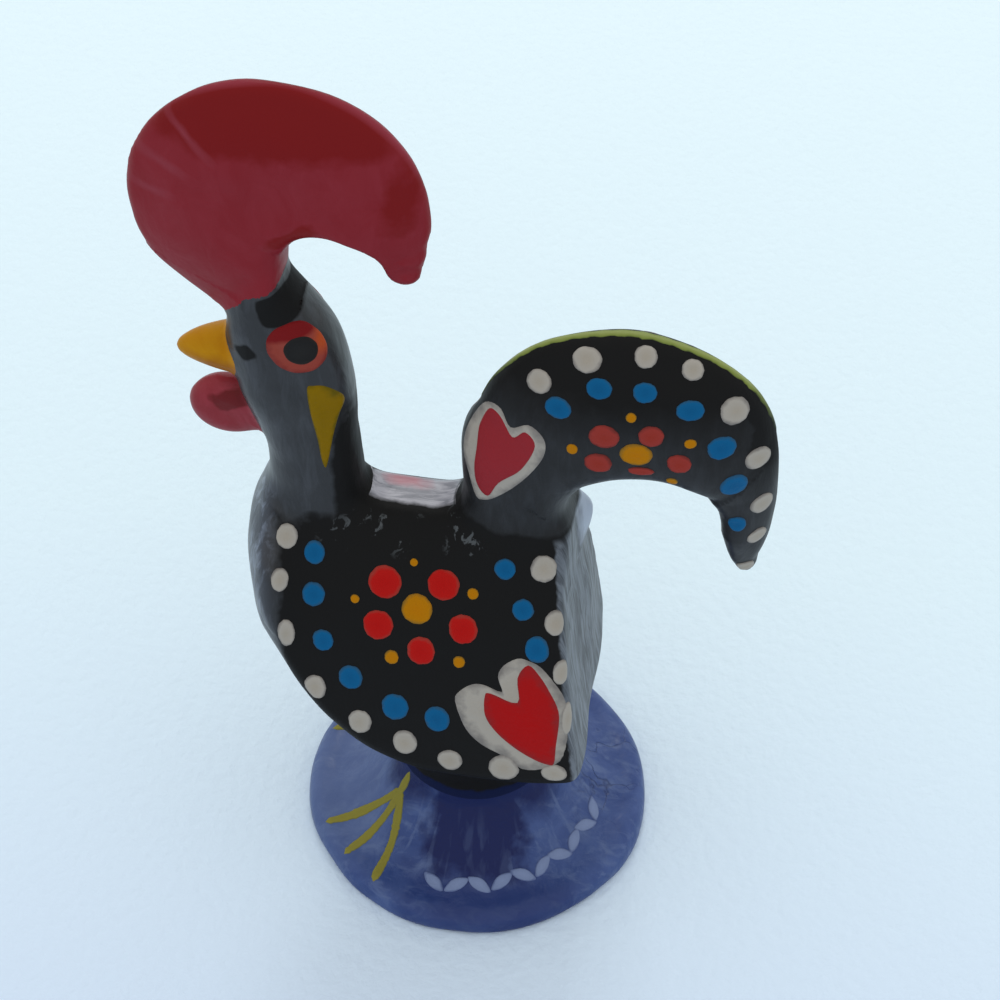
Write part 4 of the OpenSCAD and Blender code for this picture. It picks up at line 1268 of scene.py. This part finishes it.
def wavy_round(wide, high, rng, corners=32, roughness=0.018):
    angle = np.linspace(0, 2 * math.pi, corners, endpoint=False)
    r = np.ones(corners)
    for k in (2, 3, 4, 7, 11):
        r = r * (1 + roughness * rng.uniform(0.3, 1.0) * np.sin(k * angle + rng.uniform(0, FULL_TURN)))
    return np.stack([r * np.cos(angle) * wide / 2, r * np.sin(angle) * high / 2], axis=1)


print("corners round one dab:", len(wavy_round(2.0, 2.0, np.random.default_rng(1))))

# %% [markdown]
# ## Dots and flowers
# Every dot is listed by its place on the side, seen along Y, and by its width and height on the clay.
# Rows of white follow the outer edge, a row of blue runs inside it, and a flower of five red petals
# sits in the middle. A formula would space them evenly, and a painter doesn't.

# %% The body's dots
SIDES = {"left": -1, "right": 1}
BODY_DOTS = {
    "white_dots": (white_enamel, "white_enamel", [
        (-14.22, 37.88, 1.72, 2.14), (-14.6, 34.87, 1.45, 2.13), (-14.11, 29.98, 1.43, 2.77),
        (-11.82, 24.78, 1.84, 2.53), (-8.15, 21.61, 1.92, 2.67), (-4.43, 19.83, 2.02, 2.74),
        (-0.68, 18.42, 2.07, 2.38), (3.78, 18.29, 2.53, 3.05), (7.94, 18.35, 2.17, 2.0),
        (6.08, 37.14, 2.14, 2.37), (7.33, 33.05, 1.95, 2.2), (8.03, 28.72, 1.6, 2.35),
        (8.75, 24.2, 1.2, 3.3)]),
    "blue_dots": (dot_blue, "dot_blue", [
        (-12.06, 36.51, 1.66, 2.1), (-12.02, 33.26, 1.85, 2.19), (-11.16, 29.47, 1.73, 2.05),
        (-8.9, 26.18, 1.98, 2.42), (-5.25, 23.62, 2.2, 2.83), (-1.79, 22.87, 2.07, 2.83),
        (3.07, 36.92, 1.69, 1.87), (4.7, 33.86, 1.74, 1.9), (6.02, 30.69, 1.95, 2.59)]),
    "petals": (petal_red, "petal_red", [
        (-6.34, 34.88, 2.67, 2.87), (-1.7, 35.03, 2.54, 2.67), (0.06, 31.77, 2.37, 2.69),
        (-3.23, 29.45, 2.26, 2.75), (-6.73, 31.42, 2.41, 2.78)]),
    "flower_centre": (flower_yellow, "yellow_enamel", [(-3.69, 32.99, 2.48, 2.7)]),
    "specks": (flower_yellow, "yellow_enamel", [
        (-4.15, 36.47, 0.64, 0.66), (-8.66, 33.32, 0.73, 0.78), (0.67, 34.64, 0.92, 0.99),
        (-5.59, 28.59, 1.14, 1.42), (-0.15, 28.78, 0.97, 1.18)]),
}
print("dots on one side of the body:", sum(len(spots) for _, _, spots in BODY_DOTS.values()))

# %% The tail's dots
TAIL_DOTS = {
    "white_dots": (white_enamel, "white_enamel", [
        (5.19, 55.66, 2.08, 1.87), (8.62, 58.01, 2.25, 2.03), (12.85, 58.63, 1.73, 1.74),
        (16.3, 57.68, 1.69, 1.68), (19.61, 54.49, 2.34, 2.32), (21.65, 49.71, 2.3, 2.05),
        (22.33, 44.43, 2.1, 2.05), (22.24, 40.67, 1.85, 1.6), (21.6, 36.3, 1.8, 1.2)]),
    "blue_dots": (dot_blue, "dot_blue", [
        (6.77, 54.38, 2.1, 1.79), (9.69, 56.47, 1.93, 1.65), (13.03, 56.48, 1.81, 1.58),
        (16.41, 55.09, 2.16, 1.67), (18.94, 51.65, 2.27, 2.12), (20.1, 47.58, 2.26, 2.33),
        (20.62, 42.69, 1.52, 1.75)]),
    "petals": (tail_petal_red, "petal_red", [
        (10.29, 52.55, 2.3, 2.43), (13.73, 52.96, 1.9, 2.07), (15.92, 50.32, 1.86, 1.91),
        (9.93, 49.63, 2.11, 2.06), (13.15, 49.1, 1.95, 0.95)]),
    "flower_centre": (flower_yellow, "yellow_enamel", [(12.71, 50.94, 2.48, 2.31)]),
    "specks": (flower_yellow, "yellow_enamel", [
        (12.18, 54.62, 0.8, 0.88), (7.96, 50.84, 0.84, 1.13), (16.63, 52.33, 0.96, 0.85),
        (15.49, 48.12, 0.9, 0.93)]),
}
print("dots on one side of the tail:", sum(len(spots) for _, _, spots in TAIL_DOTS.values()))

# %% [markdown]
# The right side repeats the left one a little tighter, drawn in towards a middle, as a painter's
# second side does. Small dabs are also thinner.

# %% Lay the dots
INNER = {"body": (-3.0, 30.0), "tail": (12.0, 46.0)}
DRAWN_IN = 0.08
SMALL_DAB = 1.3
for side_name, side in SIDES.items():
    for where, table in (("body", BODY_DOTS), ("tail", TAIL_DOTS)):
        inner_x, inner_z = INNER[where]
        for dot_name, (material, slot, spots) in table.items():
            rng = np.random.default_rng(21 + side)
            paint = Paint()
            for x, z, wide, high in spots:
                if side > 0:
                    x = (1 - DRAWN_IN) * x + DRAWN_IN * inner_x
                    z = (1 - DRAWN_IN) * z + DRAWN_IN * inner_z
                thick = 0.13 if wide > SMALL_DAB else 0.09
                lay(paint, find_surface(x, z, side), wavy_round(wide, high, rng), thick)
            node = "%s_%s_%s" % (where, dot_name, side_name)
            paint.finish("enamel_" + node, material, slot, node)

# %% [markdown]
# ## Hearts
# Each heart is a red brush mark inside a pale halo. Both are closed outlines of corners given on
# the left side's clay, mirrored for the right. The red one lies a little higher than the halo. A heart
# from a formula would be even on both sides, and these lean.

# %% A smooth outline through corners
def smooth_outline(corners, count=64):
    """A closed smooth curve through given corners."""
    c = np.asarray(corners, float)
    out = []
    n = len(c)
    for i in range(n):
        p0, p1, p2, p3 = c[i - 1], c[i], c[(i + 1) % n], c[(i + 2) % n]
        for t in np.linspace(0, 1, max(3, count // n), endpoint=False):
            out.append(0.5 * (2 * p1 + (p2 - p0) * t + (2 * p0 - 5 * p1 + 4 * p2 - p3) * t**2
                              + (3 * p1 - p0 - 3 * p2 + p3) * t**3))
    return np.array(out)


def lay_outline(paint, middle, corners, side, height, lift=0.0):
    """corners are places on the left side's clay, and side says where they go."""
    mirror = np.array([1.0, -side, 1.0])
    centre = settle(clay, (np.array(middle) * mirror)[None])[0]
    raise_shape(paint, centre, smooth_outline(np.array(corners) * mirror), height, lift, rings=10)


print("points round a square of four corners:", len(smooth_outline([(0, 0), (1, 0), (1, 1), (0, 1)])))

# %% Lay the hearts
HALO_HEIGHT = 0.09
HEART_HEIGHT = 0.1
HEART_LIFT = 0.08
HEARTS = {
    "body_halo": (white_enamel, "white_enamel", HALO_HEIGHT, 0.0, (4.4, -8.6, 24.5), [
        (-0.4, -8.9, 25.0), (-0.1, -8.7, 26.0), (0.9, -8.4, 26.8), (1.9, -8.4, 26.9), (3.4, -8.5, 26.4),
        (3.0, -8.1, 27.8), (3.4, -7.8, 28.9), (4.5, -7.5, 29.7), (5.4, -7.5, 29.6), (6.5, -7.7, 29.1),
        (7.6, -7.8, 27.6), (8.2, -8.0, 25.4), (8.5, -8.8, 21.8), (8.4, -9.6, 19.7), (6.9, -10.1, 18.6),
        (5.3, -10.2, 18.4), (3.7, -10.0, 19.6), (1.9, -9.8, 20.6), (0.5, -9.5, 22.2)]),
    "body_heart": (heart_red, "heart_red", HEART_HEIGHT, HEART_LIFT, (5.6, -9.0, 24.0), [
        (2.0, -8.7, 25.9), (2.5, -8.6, 26.2), (4.7, -8.8, 25.6), (4.6, -8.1, 28.0), (5.4, -7.7, 29.2),
        (6.5, -8.0, 28.2), (7.5, -8.3, 26.4), (8.0, -8.6, 24.5), (8.0, -9.4, 21.6), (7.9, -9.9, 19.5),
        (7.4, -10.0, 19.3), (6.3, -10.0, 19.7), (4.7, -9.8, 20.7), (3.1, -9.5, 22.2), (2.1, -9.2, 23.9)]),
    "tail_halo": (white_enamel, "white_enamel", HALO_HEIGHT, 0.0, (2.6, -2.9, 48.2), [
        (1.3, -1.0, 52.1), (2.4, -1.8, 52.3), (3.2, -2.6, 51.2), (4.6, -3.0, 52.1), (5.7, -3.5, 51.5),
        (6.0, -3.6, 50.3), (5.5, -3.7, 48.6), (3.8, -3.5, 45.7), (2.2, -3.1, 43.7), (1.1, -2.8, 42.9),
        (0.5, -2.6, 43.0), (0.0, -2.1, 45.0), (-0.4, -1.5, 46.9), (-0.3, -0.9, 49.0), (0.4, -0.5, 50.7)]),
    "tail_heart": (heart_red, "heart_red", HEART_HEIGHT, HEART_LIFT, (2.6, -3.0, 48.5), [
        (1.5, -1.3, 51.7), (2.4, -2.0, 51.7), (3.4, -2.9, 50.5), (4.4, -3.1, 51.4), (5.2, -3.5, 50.4),
        (4.2, -3.6, 47.8), (2.4, -3.3, 45.6), (1.5, -3.0, 43.7), (0.6, -2.6, 45.0), (0.6, -2.4, 48.2),
        (0.8, -1.4, 50.1)]),
}
for side_name, side in SIDES.items():
    for part, (material, slot, height, lift, middle, corners) in HEARTS.items():
        paint = Paint()
        lay_outline(paint, middle, corners, side, height, lift)
        node = "%s_%s" % (part, side_name)
        paint.finish("enamel_" + node, material, slot, node)

# %% [markdown]
# ## Eyes and ear drops
# The eye is a thick orange-red disc with a black disc on it. The ear drop is one downward stroke of
# yellow that starts wide and ends in a point. The right side's three marks sit a little further
# forward than the left side's, because a painter doesn't measure them.

# %% Lay the eyes and ear drops
EYE_PLACE = (-12.4, 57.4)
EYE_SIZE = (5.15, 4.65)
PUPIL_PLACE = (-12.3, 57.2)
PUPIL_SIZE = (2.6, 2.5)
AHEAD = {"left": 0.0, "right": 1.3}
EAR_MIDDLE = (-11.1, -2.7, 50.8)
EAR = [(-12.0, -2.9, 53.7), (-11.6, -2.7, 53.8), (-11.0, -2.3, 53.6), (-10.4, -1.8, 52.8),
       (-10.0, -1.4, 51.6), (-10.1, -2.0, 50.4), (-10.3, -2.5, 48.7), (-10.6, -2.8, 46.7),
       (-10.9, -3.0, 45.1), (-11.1, -3.0, 44.9), (-11.3, -3.0, 45.8), (-11.5, -3.0, 48.0),
       (-11.8, -3.1, 50.5), (-12.0, -3.0, 52.3)]
for side_name, side in SIDES.items():
    rng = np.random.default_rng(51 + side)
    ahead = np.array([AHEAD[side_name], 0.0, 0.0])
    ring, pupil, drop = Paint(), Paint(), Paint()
    place = find_surface(EYE_PLACE[0] - ahead[0], EYE_PLACE[1], side)
    lay(ring, place, wavy_round(*EYE_SIZE, rng, 48, 0.01), 0.16, rings=9)
    place = find_surface(PUPIL_PLACE[0] - ahead[0], PUPIL_PLACE[1], side)
    lay(pupil, place, wavy_round(*PUPIL_SIZE, rng, 36, 0.012), 0.07, lift=0.14)
    lay_outline(drop, np.array(EAR_MIDDLE) - ahead, np.array(EAR) - ahead, side, 0.16)
    ring.finish("enamel_eye_" + side_name, eye_orange, "eye_orange", "eye_ring_" + side_name)
    pupil.finish("enamel_pupil_" + side_name, pupil_black, "black_glaze", "pupil_" + side_name)
    drop.finish("enamel_ear_drop_" + side_name, ear_yellow, "yellow_enamel", "ear_drop_" + side_name)

# %% [markdown]
# ## Brush strokes
# The toes on the foot and the stripe along the tail's rim are strokes of a loaded brush. A stroke is
# a ribbon of points across a line, settled onto the clay and raised in the middle. A bevelled curve
# would float over the uneven clay or sink into it.

# %% One stroke on the clay
ACROSS = np.array([-1.0, -0.92, -0.7, -0.35, 0.0, 0.35, 0.7, 0.92, 1.0])


def stroke(paint, line, widths, height, steps=40, seed=0):
    """line and widths are lists of the same length, from the start of the stroke to its end."""
    rng = np.random.default_rng(seed)
    line = np.asarray(line, float)
    t = np.linspace(0, len(line) - 1, steps)
    path = np.stack([np.interp(t, range(len(line)), line[:, k]) for k in range(3)], axis=1)
    path = settle(clay, path, 6)
    width = np.interp(t, range(len(line)), widths) / 2
    width = width * (1 + 0.12 * np.sin(t * 5 + rng.uniform(0, 6)) + 0.06 * rng.normal(size=steps))
    side_way = np.cross(normals_at(path), np.gradient(path, axis=0))
    side_way /= np.linalg.norm(side_way, axis=1)[:, None]
    from_end = np.minimum(np.arange(steps), steps - 1 - np.arange(steps))
    ends = np.clip(from_end / 2.0, 0.12, 1.0)
    grid = path[:, None] + side_way[:, None] * (ACROSS[None, :, None] * (width * ends)[:, None, None])
    flat = settle(clay, grid.reshape(-1, 3), 4)
    g = normals_at(flat)
    raised = (np.sqrt(1 - ACROSS**4)[None] * ends[:, None]).ravel() - 0.12
    world = flat + g * (height * raised)[:, None]
    n = len(ACROSS)
    faces = [(i * n + j, i * n + j + 1, (i + 1) * n + j + 1, (i + 1) * n + j)
             for i in range(steps - 1) for j in range(n - 1)]
    mid = (steps // 2) * n + n // 2
    turn = np.cross(world[mid + 1] - world[mid], world[mid + n] - world[mid])
    if np.dot(turn, g[mid]) < 0:
        faces = [f[::-1] for f in faces]
    paint.append(world, faces, np.tile(np.abs(ACROSS), steps))


print("points across one stroke:", len(ACROSS))

# %% [markdown]
# Each toe starts at the heel and runs out over the foot to its rim. Places on the foot are given by a
# share of its radius and an angle, and the flare's own formula gives the height.

# %% Lay the toes
FOOT_RADIUS = 15.0
HEEL = 222
TOES = {"left": (208, 223, 239), "right": (194, 211, 229)}


def on_foot(share, angle, side):
    r, a = FOOT_RADIUS * share, math.radians(angle)
    f = max(0.0, (FLARE_START - r) / FLARE_WIDTH)
    return (r * math.cos(a), r * math.sin(a) * -side, FOOT_RIM_TOP + FLARE_RISE * f**FLARE_POWER)


for side_name, side in SIDES.items():
    paint = Paint()
    heel = [on_foot(0.45, HEEL - 1, side), on_foot(0.5, HEEL - 0.5, side), on_foot(0.56, HEEL, side)]
    stroke(paint, heel, [0.6, 0.8, 0.8], 0.1, steps=14, seed=1)
    for k, angle in enumerate(TOES[side_name]):
        halfway = HEEL + (angle - HEEL) * 0.72
        toe = [on_foot(0.52, HEEL, side), on_foot(0.72, halfway, side), on_foot(0.955, angle, side)]
        stroke(paint, toe, [0.65, 0.88, 0.7], 0.1, seed=2 + k)
    paint.finish("enamel_toes_" + side_name, toe_yellow, "yellow_enamel", "toes_" + side_name)

# %% [markdown]
# The stripe follows the tail's rim in one sweep, from a thin start at the root to a thin end. It is an
# arc round the middle of the tail's disc.

# %% Lay the rim stripe
STRIPE_R = 11.5
STRIPE_Y = 0.18
arc = []
for angle in np.linspace(164, 14, 26):
    a = math.radians(angle)
    arc.append((TAIL_MID[0] + STRIPE_R * math.cos(a), STRIPE_Y, TAIL_MID[1] + STRIPE_R * math.sin(a)))
paint = Paint()
stroke(paint, arc, [0.2, 0.4, 0.6, 0.7] + [0.95] * 21 + [0.3], 0.06, steps=120, seed=9)
paint.finish("enamel_tail_rim", rim_green, "rim_green", "tail_rim_band")

# %% [markdown]
# A garland of ten pale leaves runs along the near side of the foot and on below the tail. Each leaf is
# one press of the brush, leaning in and out in turn.

# %% Lay the garland
LEAF = [(-1.2, 0.0), (-0.65, 0.4), (0.0, 0.56), (0.65, 0.4),
        (1.2, 0.0), (0.65, -0.38), (0.0, -0.5), (-0.65, -0.4)]
LEAVES = 10
LEAF_STEP = 9.6
paint = Paint()
rng = np.random.default_rng(77)
for k in range(LEAVES):
    angle = -100 + LEAF_STEP * k
    place = settle(clay, np.array([on_foot(0.8 - 0.007 * k, angle, -1)]), 6)[0]
    lean = math.radians(angle + 90 + (35 if k % 2 else -35) + rng.uniform(-6, 6))
    toward = (math.cos(lean), math.sin(lean), 0.0)
    lay(paint, place, smooth_outline(LEAF, 24), 0.08, toward=toward, rings=6)
paint.finish("enamel_garland", pale_blue, "pale_blue", "foot_garland")

# %% [markdown]
# ## Floor
# The rooster stands on a pale blue-white sheet of paper with a fine tooth. It is a little bluer near
# the camera and whiter far away. One large face is enough, because it reaches past the picture on
# every side, and the tooth is only a bump.

# %% Floor
FLOOR_HALF = 3.0
floor_corners = [(sx * FLOOR_HALF, sy * FLOOR_HALF, 0) for sx, sy in ((-1, -1), (1, -1), (1, 1), (-1, 1))]
floor_mesh = bpy.data.meshes.new("floor")
floor_mesh.from_pydata(floor_corners, [], [(0, 1, 2, 3)])
floor = bpy.data.objects.new("floor", floor_mesh)
bpy.context.scene.collection.objects.link(floor)
floor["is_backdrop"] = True
paper, tree, sheet = glaze_shader("paper")
place = object_place(tree)
tooth = noise(tree, place, 900.0, 5.0).outputs[0]
depth = add(tree, "ShaderNodeSeparateXYZ", {0: place}).outputs["Y"]
near, middle = paint_colour(212, 229, 247), paint_colour(223, 242, 250)
tint = mix_colour(tree, spread(tree, depth, -0.03, 0.03), near, middle)
tint = mix_colour(tree, spread(tree, depth, 0.03, 0.12), tint, paint_colour(227, 245, 251))
tint = mix_colour(tree, spread(tree, tooth, 0.3, 0.7, 0.0, 0.03), tint, paint_colour(190, 206, 232))
tree.links.new(tint, sheet.inputs["Base Color"])
bump = add(tree, "ShaderNodeBump", {"Height": tooth, "Strength": 0.3, "Distance": 0.0006})
tree.links.new(bump.outputs[0], sheet.inputs["Normal"])
sheet.inputs["Roughness"].default_value = 0.85
sheet.inputs["Specular IOR Level"].default_value = 0.2
floor_mesh.materials.append(paper)
print("floor side in metres:", 2 * FLOOR_HALF)

# %% [markdown]
# ## Light
# The light is that of an open sky: soft from all round, with one large window high behind the rooster.
# It leaves a faint shadow to the lower right of the foot and a soft shine on the glaze. A sun lamp
# would draw a hard shadow, which the photograph doesn't have.

# %% Lights
AIM = np.array([0.0, 0.0, 0.04])


def soft_lamp(name, where, size, watts):
    data = bpy.data.lights.new(name, "AREA")
    data.size = size
    data.energy = watts
    lamp = bpy.data.objects.new(name, data)
    lamp.location = where
    way = AIM - np.array(where)
    tilt = math.acos(-way[2] / np.linalg.norm(way))
    lamp.rotation_euler = (tilt, 0.0, math.atan2(way[1], way[0]) - math.pi / 2)
    bpy.context.scene.collection.objects.link(lamp)
    return lamp


window = soft_lamp("window", (-0.1, 0.56, 0.64), 0.24, 1.1)
world = bpy.data.worlds.new("sky")
world.use_nodes = True
sky = world.node_tree.nodes["Background"]
sky.inputs["Color"].default_value = (0.98, 0.99, 1.0, 1.0)
sky.inputs["Strength"].default_value = 0.92
bpy.context.scene.world = world
bpy.context.scene.view_settings.view_transform = "Standard"
print("window lamp:", round(window.data.energy, 2), "W")

# %% [markdown]
# ## Finish
# The size of the dressed rooster is written next to the size of its solids.

# %% Write the sizes
def rounded_mm(corner):
    return [round(v * 1000, 2) for v in corner]


dressed_box = [list(corner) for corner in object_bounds()]
for word, box in (("solids", cad_box), ("dressed", dressed_box)):
    print(word, "from", rounded_mm(box[0]), "to", rounded_mm(box[1]), "mm")
